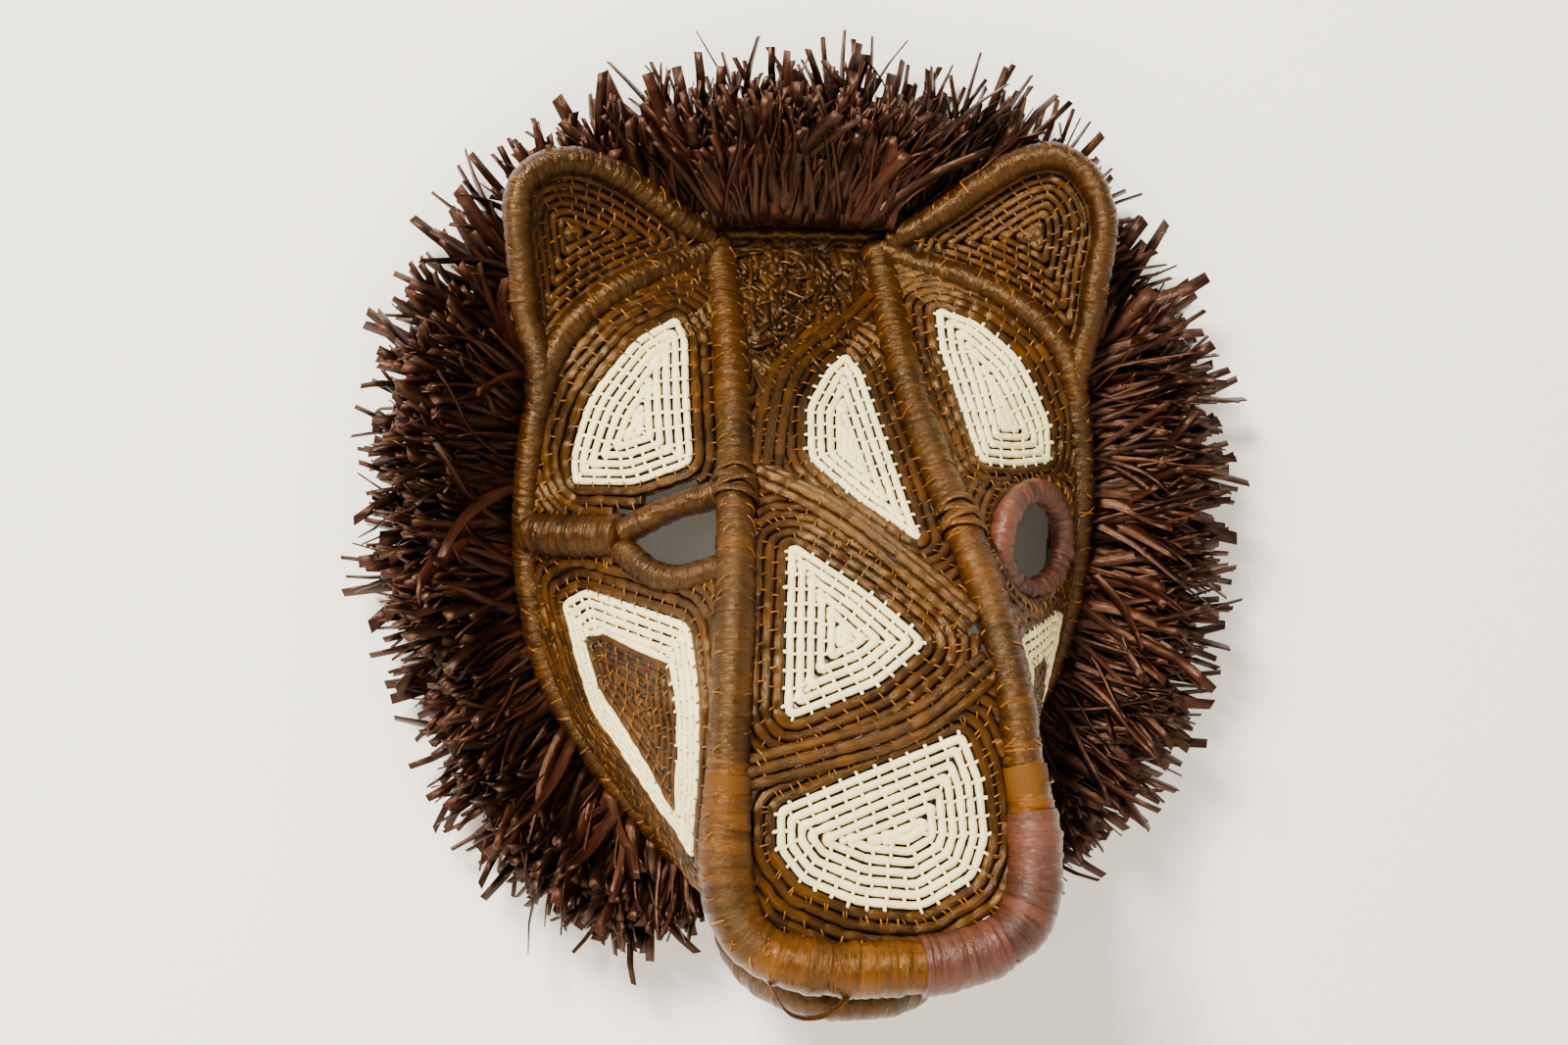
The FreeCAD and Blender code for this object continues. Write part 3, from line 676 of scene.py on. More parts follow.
def panel(chart, region, heart, rng, sizes, hole=None):
    """A coiled panel: its rows laid on a chart, as (patch weave, border weave, stitch lists)."""
    patch, border = Weave(), Weave()
    marks = {True: [], False: []}
    drawn = []
    for inner, number, flat, closed in rows(region, heart, sizes["patch_pitch"], sizes["border_pitch"], hole):
        flat = relaxed(paced(relaxed(flat, closed), 0.7, closed), closed)
        if len(flat) < 3:
            continue
        if inner:
            drawn.append(flat)
        style = ROW_STYLES[inner]
        pitch, stitch = sizes[style["pitch"]], sizes[style["stitch"]]
        sway = waves(run_along(flat), rng, (9.0, 17.0), style["sway"])
        aside = np.stack([headings(flat)[:, 1], -headings(flat)[:, 0]], 1)
        flat = flat + aside * sway[:, None] * (not closed)
        line, out = chart.place(flat)
        # Stitches of a patch line up from row to row; those of a border are staggered.
        beat = nearest(heart, flat)[1] / stitch + rng.uniform(-0.12, 0.12) if inner else None
        # A dark, low-toned row sunk under every row is painted shade: it darkens the gaps between the rows.
        coil(border, line - out * style["shadow_row_drop"], out, rng, closed, pitch * style["shadow_row_half"],
             SHADOW_ROW_THICK, SHADOW_ROW_STITCH, 0.0, None, 0.06, 0.05)
        shift = 0.0 if inner else 0.5 * (number % 2) + rng.uniform(-0.1, 0.1)
        coil(patch if inner else border, line, out, rng, closed, pitch * style["half"], style["thick"],
             stitch, ROW_PINCH, marks[inner], style["tone"], style["spread"], shift, beat)
    if drawn:
        fill_gaps(patch, chart, heart, hole, drawn, sizes["patch_pitch"], rng)
    return patch, border, marks


class Tree:
    """A node tree under construction."""

    def plug(self, socket, value):
        """Links or sets a socket."""
        if isinstance(value, bpy.types.NodeSocket):
            self.tree.links.new(value, socket)
        elif value is not None:
            socket.default_value = value

    def sum(self, operation, *values):
        """One step of arithmetic."""
        made = self.tree.nodes.new("ShaderNodeMath")
        made.operation = operation
        for socket, value in zip(made.inputs, values):
            self.plug(socket, value)
        return made.outputs[0]

    def plus(self, *values):
        """One value added to another."""
        return self.sum("ADD", *values)

    def minus(self, *values):
        """One value less another."""
        return self.sum("SUBTRACT", *values)

    def times(self, *values):
        """One value by another."""
        return self.sum("MULTIPLY", *values)


class Net(Tree):
    """A geometry tree under construction."""

    def __init__(self, name, inputs):
        self.tree = bpy.data.node_groups.new(name, "GeometryNodeTree")
        sockets = self.tree.interface
        sockets.new_socket("Geometry", in_out="INPUT", socket_type="NodeSocketGeometry")
        for label, kind, value in inputs:
            socket = sockets.new_socket(label, in_out="INPUT", socket_type="NodeSocket" + kind)
            if value is not None:
                socket.default_value = value
        sockets.new_socket("Geometry", in_out="OUTPUT", socket_type="NodeSocketGeometry")
        self.given = self.tree.nodes.new("NodeGroupInput").outputs
        self.result = self.tree.nodes.new("NodeGroupOutput")

    def node(self, kind, settings=None, **plugs):
        """A node with its settings, and its inputs by identifier."""
        made = self.tree.nodes.new(kind)
        for key, value in (settings or {}).items():
            setattr(made, key, value)
        for socket in made.inputs:
            word = socket.identifier.replace(" ", "_").lower()
            if word in plugs:
                self.plug(socket, plugs[word])
        return made

    def vector(self, operation, *values, scale=None):
        """One step of arithmetic on vectors."""
        made = self.tree.nodes.new("ShaderNodeVectorMath")
        made.operation = operation
        for socket, value in zip(made.inputs, values):
            self.plug(socket, value)
        if scale is not None:
            self.plug(made.inputs["Scale"], scale)
        return made.outputs["Vector"]

    def random(self, low, high, seed):
        """A different number for each point."""
        made = self.node("FunctionNodeRandomValue", {"data_type": "FLOAT"}, min_001=low, max_001=high,
                         seed=seed)
        return made.outputs[1]

    def named(self, name, kind="FLOAT"):
        """A stored value."""
        made = self.node("GeometryNodeInputNamedAttribute", {"data_type": kind}, name=name)
        return made.outputs[0]

    def store(self, geometry, name, value, kind="FLOAT", domain="POINT"):
        """Keeps a value on the geometry."""
        made = self.tree.nodes.new("GeometryNodeStoreNamedAttribute")
        made.data_type, made.domain = kind, domain
        made.inputs["Name"].default_value = name
        self.plug(made.inputs["Geometry"], geometry)
        self.plug(made.inputs["Value"], value)
        return made.outputs[0]

    def parts(self, vector):
        """The three parts of a vector."""
        made = self.tree.nodes.new("ShaderNodeSeparateXYZ")
        self.plug(made.inputs[0], vector)
        return made.outputs

    def join(self, x, y, z):
        """A vector from three parts."""
        made = self.tree.nodes.new("ShaderNodeCombineXYZ")
        for socket, value in zip(made.inputs, (x, y, z)):
            self.plug(socket, value)
        return made.outputs[0]

    def finish(self, geometry, material):
        """Realises, sets the finish and closes the tree."""
        real = self.node("GeometryNodeRealizeInstances", geometry=geometry).outputs[0]
        smooth = self.node("GeometryNodeSetShadeSmooth", geometry=real, shade_smooth=True).outputs[0]
        last = self.node("GeometryNodeSetMaterial", geometry=smooth, material=material).outputs[0]
        self.tree.links.new(last, self.result.inputs[0])
        return self.tree


def stitch_net():
    """Stitches: one small arched strip on every point, lying along `lay` and facing `out`."""
    n = Net("stitches", [("Length", "Float", 0.004), ("Width", "Float", 0.0015),
                         ("Thickness", "Float", 0.0008), ("Arch", "Float", 0.0012),
                         ("Unevenness", "Float", 0.2), ("Seed", "Int", 3), ("Finish", "Material", None)])
    g = n.given
    cube = n.node("GeometryNodeMeshCube", size=(1, 1, 1), vertices_x=6, vertices_y=3, vertices_z=2)
    place = n.node("GeometryNodeInputPosition").outputs[0]
    x, y, z = n.parts(place)
    bow = n.times(n.times(x, x), 4.0)
    narrow = n.minus(1.0, n.times(bow, 0.35))
    rim = n.minus(1.0, n.times(n.times(y, y), 2.0))
    width = n.times(n.times(y, narrow), g["Width"])
    height = n.minus(n.times(n.times(z, rim), g["Thickness"]),
                   n.times(bow, g["Arch"]))
    bent_strip = n.node("GeometryNodeSetPosition", geometry=cube.outputs["Mesh"],
                        position=n.join(n.times(x, g["Length"]), width, height)).outputs[0]
    strip = n.store(bent_strip, "UVMap", n.join(n.times(x, g["Length"]), n.times(y, g["Width"]), 0.0),
                    "FLOAT2", "CORNER")
    points = n.store(g["Geometry"], "tone", n.random(0.0, 1.0, n.plus(g["Seed"], 5)))
    turn = n.node("FunctionNodeAxesToRotation", {"primary_axis": "Z", "secondary_axis": "X"},
                  primary_axis=n.named("out", "FLOAT_VECTOR"),
                  secondary_axis=n.named("lay", "FLOAT_VECTOR")).outputs[0]
    uneven = g["Unevenness"]
    size = n.join(*[n.random(n.minus(1.0, uneven), n.plus(1.0, uneven), n.plus(g["Seed"], k))
                    for k in range(3)])
    on = n.node("GeometryNodeInstanceOnPoints", points=points, instance=strip, rotation=turn,
                scale=size).outputs[0]
    return n.finish(on, g["Finish"])


def fringe_net():
    """Loose strips: one curling ribbon from every root, along `lay`, bending towards `out`."""
    n = Net("loose_strips", [("Length", "Float", 0.05), ("Narrow", "Float", 0.0008),
                             ("Broad", "Float", 0.0022), ("Thickness", "Float", 0.0004),
                             ("Curl", "Float", 0.12), ("Sway", "Float", 0.25), ("Lean", "Float", 0.2),
                             ("Twist", "Float", 1.2), ("Shortest", "Float", 0.7), ("Steps", "Int", 9),
                             ("Seed", "Int", 7), ("Finish", "Material", None)])
    g = n.given

    def seed(k):
        return n.plus(g["Seed"], k)

    points = g["Geometry"]
    points = n.store(points, "root", n.node("GeometryNodeInputPosition").outputs[0], "FLOAT_VECTOR")
    broad = n.sum("POWER", n.random(0.0, 1.0, seed(1)), 1.7)
    wide = n.plus(g["Narrow"], n.times(broad, n.minus(g["Broad"], g["Narrow"])))
    kept = (("long", n.times(n.named("reach"), n.random(g["Shortest"], 1.0, seed(2)))),
            ("wide", wide),
            ("lean", n.times(g["Lean"], n.random(0.3, 1.7, seed(3)))),
            ("sway", n.times(g["Sway"], n.random(-1.0, 1.0, seed(4)))),
            ("curl", n.times(g["Curl"], n.random(0.2, 1.0, seed(5)))),
            ("phase", n.random(0.0, 6.3, seed(6))),
            ("beats", n.random(3.0, 9.0, seed(7))),
            ("twist", n.times(g["Twist"], n.random(-1.0, 1.0, seed(8)))),
            ("tone", n.random(0.0, 1.0, seed(9))))
    for name, value in kept:
        points = n.store(points, name, value)
    cube = n.node("GeometryNodeMeshCube", size=(1, 1, 1), vertices_x=g["Steps"], vertices_y=2, vertices_z=2)
    strip = n.store(cube.outputs["Mesh"], "spot", n.node("GeometryNodeInputPosition").outputs[0],
                    "FLOAT_VECTOR")
    on = n.node("GeometryNodeInstanceOnPoints", points=points, instance=strip).outputs[0]
    real = n.node("GeometryNodeRealizeInstances", geometry=on).outputs[0]
    x, y, z = n.parts(n.named("spot", "FLOAT_VECTOR"))
    t = n.plus(x, 0.5)
    t2 = n.times(t, t)
    lay, out = n.named("lay", "FLOAT_VECTOR"), n.named("out", "FLOAT_VECTOR")
    side = n.vector("NORMALIZE", n.vector("CROSS_PRODUCT", out, lay))
    angle = n.plus(n.times(n.named("twist"), t), n.times(n.named("twist"), 0.5))
    c, s = n.sum("COSINE", angle), n.sum("SINE", angle)
    flat = n.vector("ADD", n.vector("SCALE", side, scale=c), n.vector("SCALE", out, scale=s))
    face = n.vector("SUBTRACT", n.vector("SCALE", out, scale=c), n.vector("SCALE", side, scale=s))
    long = n.named("long")
    place = n.plus(n.times(n.named("beats"), t), n.named("phase"))
    beat, beat2 = (n.times(n.sum(wave, place), t) for wave in ("SINE", "COSINE"))
    rise = n.times(long, n.plus(n.times(n.named("lean"), t2), n.times(n.named("curl"), beat)))
    drift = n.times(long, n.plus(n.times(n.named("sway"), t2), n.times(n.named("curl"), n.times(beat2, 0.6))))
    ahead = n.times(long, n.minus(t, n.times(t2, 0.06)))
    trim = n.minus(1.0, n.times(n.sum("POWER", t, 6.0), 0.15))
    across = n.times(n.times(y, n.named("wide")), trim)
    deep = n.times(z, g["Thickness"])
    spot = n.named("root", "FLOAT_VECTOR")
    for direction, amount in ((lay, ahead), (out, rise), (side, drift), (flat, across), (face, deep)):
        spot = n.vector("ADD", spot, n.vector("SCALE", direction, scale=amount))
    x, y_out, up = n.parts(spot)
    spot = n.join(x, n.sum("MINIMUM", y_out, n.times(n.plus(z, 1.5), -0.0004)), up)
    bent_strips = n.node("GeometryNodeSetPosition", geometry=real, position=spot).outputs[0]
    mapped = n.store(bent_strips, "UVMap", n.join(n.times(t, long), n.times(y, n.named("wide")), 0.0),
                     "FLOAT2", "CORNER")
    return n.finish(mapped, g["Finish"])


def grown(name, tree, spots, lay, out, finish, extra=None, **inputs):
    """The mesh that a tree makes on a set of points."""
    seedbed = bpy.data.meshes.new(name)
    seedbed.from_pydata((np.asarray(spots) * MM).tolist(), [], [])
    for label, values in (("lay", lay), ("out", out)):
        layer = seedbed.attributes.new(label, "FLOAT_VECTOR", "POINT")
        layer.data.foreach_set("vector", np.asarray(values, np.float32).ravel())
    for label, values in (extra or {}).items():
        layer = seedbed.attributes.new(label, "FLOAT", "POINT")
        layer.data.foreach_set("value", np.asarray(values, np.float32))
    seedbed.materials.append(finish)
    holder = bpy.data.objects.new(name, seedbed)
    bpy.context.scene.collection.objects.link(holder)
    modifier = holder.modifiers.new("growth", "NODES")
    modifier.node_group = tree
    named = {item.name: item.identifier for item in tree.interface.items_tree if item.in_out == "INPUT"}
    modifier[named["Finish"]] = finish
    for label, value in inputs.items():
        modifier[named[label.replace("_", " ").title()]] = value
    graph = bpy.context.evaluated_depsgraph_get()
    mesh = bpy.data.meshes.new_from_object(holder.evaluated_get(graph))
    bpy.data.objects.remove(holder)
    bpy.data.meshes.remove(seedbed)
    for label in ("root", "spot", "long", "wide", "lean", "sway", "curl", "phase", "beats", "twist", "reach",
                  "lay", "out"):
        if label in mesh.attributes:
            mesh.attributes.remove(mesh.attributes[label])
    mesh.name = name
    return mesh


# ---------------------------------------------------------------- finishes

def tint(red, green, blue):
    """A linear colour from display values of 0 to 255."""
    return tuple(((c / 255 + 0.055) / 1.055) ** 2.4 if c > 10 else c / 255 / 12.92 for c in (red, green,
                                                                                             blue))


class Shade(Tree):
    """A fibre finish under construction."""

    def __init__(self, name):
        self.material = bpy.data.materials.new(name)
        self.material.use_nodes = True
        self.tree = self.material.node_tree
        self.tree.nodes.clear()
        self.skin = self.tree.nodes.new("ShaderNodeBsdfPrincipled")
        out = self.tree.nodes.new("ShaderNodeOutputMaterial")
        self.tree.links.new(self.skin.outputs[0], out.inputs["Surface"])
        self.where = self.tree.nodes.new("ShaderNodeTexCoord")

    def noise(self, space, stretch, detail=3.0, roughness=0.55, distortion=0.0):
        """Noise in metres, finer where the stretch is larger."""
        scale = self.tree.nodes.new("ShaderNodeMapping")
        scale.inputs["Scale"].default_value = stretch
        self.plug(scale.inputs["Vector"], self.where.outputs[space])
        made = self.tree.nodes.new("ShaderNodeTexNoise")
        made.inputs["Scale"].default_value = 1.0
        made.inputs["Detail"].default_value = detail
        made.inputs["Roughness"].default_value = roughness
        made.inputs["Distortion"].default_value = distortion
        self.plug(made.inputs["Vector"], scale.outputs[0])
        return made.outputs["Fac"]

    def ranged(self, value, low, high, new_low, new_high):
        """A value taken from one range to another, and held inside it."""
        made = self.tree.nodes.new("ShaderNodeMapRange")
        for word, part in (("Value", value), ("From Min", low), ("From Max", high), ("To Min", new_low),
                           ("To Max", new_high)):
            self.plug(made.inputs[word], part)
        return made.outputs[0]

    def ramp(self, value, colours):
        """A colour from a value, through evenly spaced colours."""
        made = self.tree.nodes.new("ShaderNodeValToRGB")
        stops = made.color_ramp.elements
        for k, colour in enumerate(colours):
            place = k / (len(colours) - 1)
            stop = stops[k] if k < 1 else stops[-1] if k == len(colours) - 1 else stops.new(place)
            stop.position = place
            stop.color = (*colour, 1)
        self.plug(made.inputs[0], value)
        return made.outputs[0]


def fibre_finish(name, colours, gloss, along, across, rough, relief=0.00012, spread=(0.5, 0.35, 0.35),
                 sheen=0.0, crinkle=False):
    """Split leaf or cane: streaks that follow the strip, a tone for each strip, and slow stains."""
    shade = Shade(name)
    streak = shade.noise("UV", (along, across, 1.0), 5.0, 0.6)
    fine = shade.noise("UV", (along * 2.2, across * 2.6, 1.0), 2.0, 0.6)
    stain = shade.noise("Object", (34.0, 34.0, 34.0), 3.0, 0.6)
    tone = shade.tree.nodes.new("ShaderNodeAttribute")
    tone.attribute_name = "tone"
    by_tone, by_streak, by_stain = spread
    parts = [(tone.outputs["Fac"], by_tone), (streak, by_streak * 2), (stain, by_stain * 2)]
    value = 0.5
    for part, weight in parts:
        value = shade.plus(value, shade.times(shade.minus(part, 0.5), weight))
    shade.plug(shade.skin.inputs["Base Color"], shade.ramp(value, colours))
    shade.plug(shade.skin.inputs["Roughness"], shade.ranged(streak, 0.3, 0.7, rough - 0.1, rough + 0.14))
    bump = shade.tree.nodes.new("ShaderNodeBump")
    bump.inputs["Strength"].default_value = 0.8
    bump.inputs["Distance"].default_value = relief
    height = shade.plus(streak, shade.times(fine, 0.6))
    if crinkle:
        crease = shade.noise("UV", (620.0, 250.0, 1.0), 4.0, 0.7, 1.2)
        height = shade.plus(height, shade.times(crease, 2.0))
    shade.plug(bump.inputs["Height"], height)
    shade.plug(shade.skin.inputs["Normal"], bump.outputs[0])
    shade.skin.inputs["Specular Tint"].default_value = (*gloss, 1)
    shade.skin.inputs["Sheen Weight"].default_value = sheen
    shade.skin.inputs["Specular IOR Level"].default_value = 0.48
    return shade.material


def plaster_finish(name, colour):
    """A pale wall that lets the view through from behind."""
    shade = Shade(name)
    mottle = shade.noise("Object", (6.0, 6.0, 6.0), 4.0)
    low = tuple(c * 0.97 for c in colour)
    shade.plug(shade.skin.inputs["Base Color"], shade.ramp(mottle, [low, colour]))
    shade.skin.inputs["Roughness"].default_value = 0.9
    side = shade.tree.nodes.new("ShaderNodeNewGeometry")
    clear = shade.tree.nodes.new("ShaderNodeBsdfTransparent")
    mix = shade.tree.nodes.new("ShaderNodeMixShader")
    shade.plug(mix.inputs[0], side.outputs["Backfacing"])
    shade.plug(mix.inputs[1], shade.skin.outputs[0])
    shade.plug(mix.inputs[2], clear.outputs[0])
    shade.plug(shade.tree.nodes["Material Output"].inputs["Surface"], mix.outputs[0])
    return shade.material


WARM_GLOSS = (1.0, 0.6, 0.27)
RED_GLOSS = (0.9, 0.46, 0.28)
FINISHES = {
    "cane_golden": dict(colour="golden", shades=(0.12, 0.55, 1.1, 2.4), gloss=WARM_GLOSS, along=1300,
                        across=60, rough=0.2, spread=(0.4, 0.3, 0.8), relief=0.00035, crinkle=True),
    # A brighter copy of the golden cane, for the lip: painted light for the lip's place in the key light.
    "cane_bright": dict(colour="golden", shades=(0.3, 1.3, 2.5, 5.2), gloss=WARM_GLOSS, along=1300, across=60,
                        rough=0.2, spread=(0.45, 0.3, 0.9), relief=0.0004, crinkle=True),
    "cane_russet": dict(colour="russet", shades=(0.12, 0.55, 1.0, 1.9), gloss=WARM_GLOSS, along=1300,
                        across=60, rough=0.2, spread=(0.4, 0.3, 0.8), relief=0.00035, crinkle=True),
    "cane_mauve": dict(colour="mauve", shades=(0.25, 0.65, 1.0, 1.9), gloss=(1.0, 0.72, 0.64), along=1200,
                       across=60, rough=0.3, spread=(0.6, 0.3, 0.6), relief=0.00035, crinkle=True),
    "leaf_cream": dict(colour="cream", shades=(0.3, 0.8, 1.0, 1.1), gloss=(1.0, 0.95, 0.85), along=170,
                       across=1900, rough=0.5, sheen=0.1, spread=(0.4, 0.6, 0.25), relief=0.0003),
    "leaf_brown": dict(colour="brown", shades=(0.08, 0.45, 1.0, 2.1), gloss=WARM_GLOSS, along=120,
                       across=2100, rough=0.26, spread=(0.6, 0.6, 0.5), relief=0.0004),
    "leaf_dark": dict(colour="brown", shades=(0.05, 0.25, 0.6, 1.4), gloss=WARM_GLOSS, along=120, across=2100,
                      rough=0.32, spread=(0.7, 0.6, 0.45), relief=0.0003),
    "thread_gold": dict(colour="thread", shades=(0.3, 0.65, 1.0, 1.7), gloss=WARM_GLOSS, along=300,
                        across=2500, rough=0.34, spread=(0.9, 0.3, 0.2)),
    "thread_cream": dict(colour="cream", shades=(0.5, 0.85, 1.0, 1.1), gloss=(1.0, 0.95, 0.85), along=300,
                         across=2500, rough=0.5, spread=(0.5, 0.3, 0.2)),
    "mane_leaf": dict(colour="mane", shades=(0.08, 0.4, 1.0, 2.6), gloss=RED_GLOSS, along=80, across=1500,
                      rough=0.3, spread=(0.75, 0.35, 0.3), relief=0.0003),
    "bundle_fibre": dict(colour="thread", shades=(0.3, 0.6, 1.0), gloss=WARM_GLOSS, along=90, across=1800,
                         rough=0.7),
}


# ---------------------------------------------------------------- pieces

def held(name, mesh, finish, slot, *nodes):
    """A finished piece: in the scene, on the body, and standing for its nodes."""
    if not mesh.materials:
        mesh.materials.append(finish)
    mesh.validate()
    piece = bpy.data.objects.new(name, mesh)
    bpy.context.scene.collection.objects.link(piece)
    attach(piece, "root")
    if nodes:
        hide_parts(*nodes)
    return piece


def dressed(name):
    """A finish by name, made once, in shades of one of the user's colours."""
    if name in bpy.data.materials:
        return bpy.data.materials[name]
    recipe = dict(FINISHES[name])
    colour = np.array(getattr(bpy.context.scene.mask_sizes, recipe.pop("colour")))
    return fibre_finish(name, [tuple(np.minimum(colour * shade, 0.95)) for shade in recipe.pop("shades")],
                        **recipe)


def woven(name, weave, finish, slot, *nodes):
    """A piece from a weave."""
    return held(name, weave.mesh(name), dressed(finish), slot, *nodes)


def grow_tree(name):
    """A geometry tree by name, made once."""
    return bpy.data.node_groups.get(name) or {"stitches": stitch_net, "loose_strips": fringe_net}[name]()


def sewn(name, marks, finish, slot, lift=0.0, slant=0.3, seed=1, shift=0.0, **sizes):
    """Stitches on a list of (place, side, out, along)."""
    spots, side, out, along = (np.array(part) for part in zip(*marks))
    rng = np.random.default_rng(seed)
    turn = rng.normal(slant, 0.16, len(spots))[:, None]
    lay = side * np.cos(turn) + along * np.sin(turn)
    mesh = grown(name, grow_tree("stitches"), spots + out * lift + side * shift, lay, out, dressed(finish),
                 seed=seed, **sizes)
    return held(name, mesh, dressed(finish), slot)


def run_cut(line, start, end):
    """The part of a line between two distances along it."""
    run = run_along(line)
    end = run[-1] if end is None else end
    at = np.concatenate([[start], run[(run > start) & (run < end)], [end]])
    return np.stack([np.interp(at, run, line[:, k]) for k in range(3)], 1)


def make_ridge(name, sign, rng):
    """A wound ridge and the lashing that holds a cross rib to it."""
    line = paced(bent(places([(sign * a, f, u) for a, f, u in RIDGE_ROUTE])), 0.5)
    weave = Weave()
    wound(weave, line, RIDGE_RADIUS, rng, strip=3.7, swell=0.42)
    woven(f"{name}_ridge_wrapping", weave, "cane_golden", "wrap_tan", f"{name}_ridge_upper_wrap",
          f"{name}_ridge_lower_wrap")
    centre = {"left": 112.0, "right": 128.0}[name]
    knot = Weave()
    short = run_cut(line, centre - 6.5, centre + 6.5)
    first, second = carried(short)
    for lane, (tilt, lift) in enumerate([(1, 0.55), (-1, 0.9), (1, 1.2), (-1, 0.7), (1, 0.95)]):
        turn = np.linspace(0, 2 * np.pi, 60, endpoint=False)
        along = headings(short)[len(short) // 2]
        middle = short[len(short) // 2] + along * (lane - 2) * 2.1
        a, b = first[len(short) // 2], second[len(short) // 2]
        size = RIDGE_RADIUS + lift
        loop = middle + np.outer(np.cos(turn), a) * size + np.outer(np.sin(turn), b) * size \
            + np.outer(np.sin(turn + lane), along) * 2.2 * tilt
        outward = unit(np.outer(np.cos(turn), a) + np.outer(np.sin(turn), b))
        tube(knot, loop, 1.5, 0.55, outward, True, 8, np.full(60, rng.uniform(0.3, 0.9)), 0.8)
    woven(f"{name}_ridge_binding", knot, "cane_golden", "wrap_tan", f"{name}_ridge_lashing")


def make_lip(rng):
    """The lip roll, wound in two goes and wrapped over again at one corner."""
    halves = [RIDGE_ROUTE[-2], *LIP_HALF]
    line = paced(bent(places(halves + mirrored(halves))), 0.5)
    line = line[line[:, 2] < LIP_START]
    # The two plain goes use the brighter copy of the golden cane: painted light for the lip in the key light.
    for name, start, end, radius, finish, slot, node in (
            ("lip_wrapping_right", 0, 24, LIP_RADIUS, "cane_bright", "wrap_tan", "lip_wrap_right"),
            ("lip_rewrapping", 20, 92, LIP_RADIUS + 0.7, "cane_mauve", "wrap_mauve", "lip_rewrap"),
            ("lip_wrapping_left", 89, None, LIP_RADIUS, "cane_bright", "wrap_tan", "lip_wrap_left")):
        weave = Weave()
        wound(weave, run_cut(line, start, end), radius, rng, strip=4.4 if slot == "wrap_mauve" else 5.2,
              swell=0.66, sides=32)
        woven(name, weave, finish, slot, node)


def make_loose_end():
    """The end of the lip's strip, which hangs in a small loop below the corner."""
    line = paced(bent(places(LOOSE_END)), 0.6)
    weave = Weave()
    facing = unit(np.cross(headings(line), (0.0, 1.0, 0.15)))
    tube(weave, line, 1.9, 0.3, facing, False, 8, 0.55 + 0.3 * np.sin(run_along(line) / 5), 0.8)
    woven("loose_lip_strip", weave, "cane_golden", "wrap_tan")


def make_rods(rng):
    """The wound hoop, ears' rims, jaw, back ring and crown bar."""
    jobs = (("face_hoop_wrapping", [HOOP_START, *HOOP_HALF] + mirrored([HOOP_START, *HOOP_HALF]), HOOP_RADIUS,
             "cane_russet", "face_hoop_wrap"),
            ("left_ear_wrapping", EAR_ROUTES["left"], EAR_RADIUS, "cane_russet", "left_ear_wrap"),
            ("right_ear_wrapping", EAR_ROUTES["right"], EAR_RADIUS, "cane_russet", "right_ear_wrap"),
            ("jaw_wrapping", [(a, f, u - 1.2) for a, f, u in JAW_HALF + mirrored(JAW_HALF)], JAW_RADIUS + 1.4,
             "cane_golden", "jaw_wrap"),
            ("crown_bar_wrapping", [(-36, 9.5, -7.5), (0, 10.2, -7), (36, 9.5, -7.5)], CROWN_BAR_RADIUS,
             "cane_golden", "crown_bar"))
    for name, route, radius, finish, node in jobs:
        weave = Weave()
        wound(weave, bent(places(route)), radius, rng, sides=18 if radius < 4 else 22, strip=3.5, swell=0.4)
        woven(name, weave, finish, "wrap_tan", node)
    ring = Weave()
    wound(ring, paced(RING_LOOP, 1.0, True), RING_RADIUS, rng, closed=True, sides=18, step=0.7, strip=3.0)
    ring.verts = [np.stack([v[:, 0], np.minimum(v[:, 1], 0), v[:, 2]], 1) for v in ring.verts]
    woven("back_ring_wrapping", ring, "cane_russet", "wrap_tan", "back_ring_wrap")


def climbing(line, radius, turn, spacing, rng):
    """Places for stitches that climb from a panel onto a rod, in pairs that lean together."""
    line = paced(line, spacing)[1:-1]
    along = headings(line)
    front = unit(np.cross(np.cross(along, (0.0, -1.0, 0.25)), along))
    side = np.cross(front, along)
    marks = []
    for k in range(len(line)):
        angle = turn + rng.normal(0, 0.09)
        out = front[k] * math.cos(angle) + side[k] * math.sin(angle)
        lay = side[k] * math.cos(angle) - front[k] * math.sin(angle)
        for lean, chance in ((rng.normal(0.1, 0.3), 1.0), (rng.normal(-0.7, 0.3), 0.3)):
            if rng.uniform() < chance:
                marks.append((line[k] + out * radius + along[k] * lean, unit(lay + along[k] * lean), out,
                              along[k]))
    return marks


def make_climbing_stitches(rng):
    """The gold stitches that tie every panel to its rods."""
    marks = []
    for sign in (-1, 1):
        ridge = bent(places([(sign * a, f, u) for a, f, u in RIDGE_ROUTE]))
        for turn in (-1.0, 1.0):
            marks += climbing(ridge, RIDGE_RADIUS, turn, 6.2, rng)
        marks += climbing(bent(places([(sign * a, f, u) for a, f, u in HOOP_HALF])), HOOP_RADIUS, 0.5 * sign,
                          6.6, rng)
    for name, sign in (("left", -1), ("right", 1)):
        marks += climbing(bent(places(EAR_ROUTES[name][1:-2])), EAR_RADIUS, 0.7 * sign, 6.6, rng)
    marks += climbing(bent(places(LIP_HALF + mirrored(LIP_HALF))), LIP_RADIUS, 0.95, 6.0, rng)
    marks += climbing(bent(places(LIP_HALF + mirrored(LIP_HALF))), LIP_RADIUS, -0.2, 26.0, rng)
    sewn("climbing_stitches", marks, "thread_gold", "coil_cream", 0.02, 0.0, 12, **EDGE_STITCH)


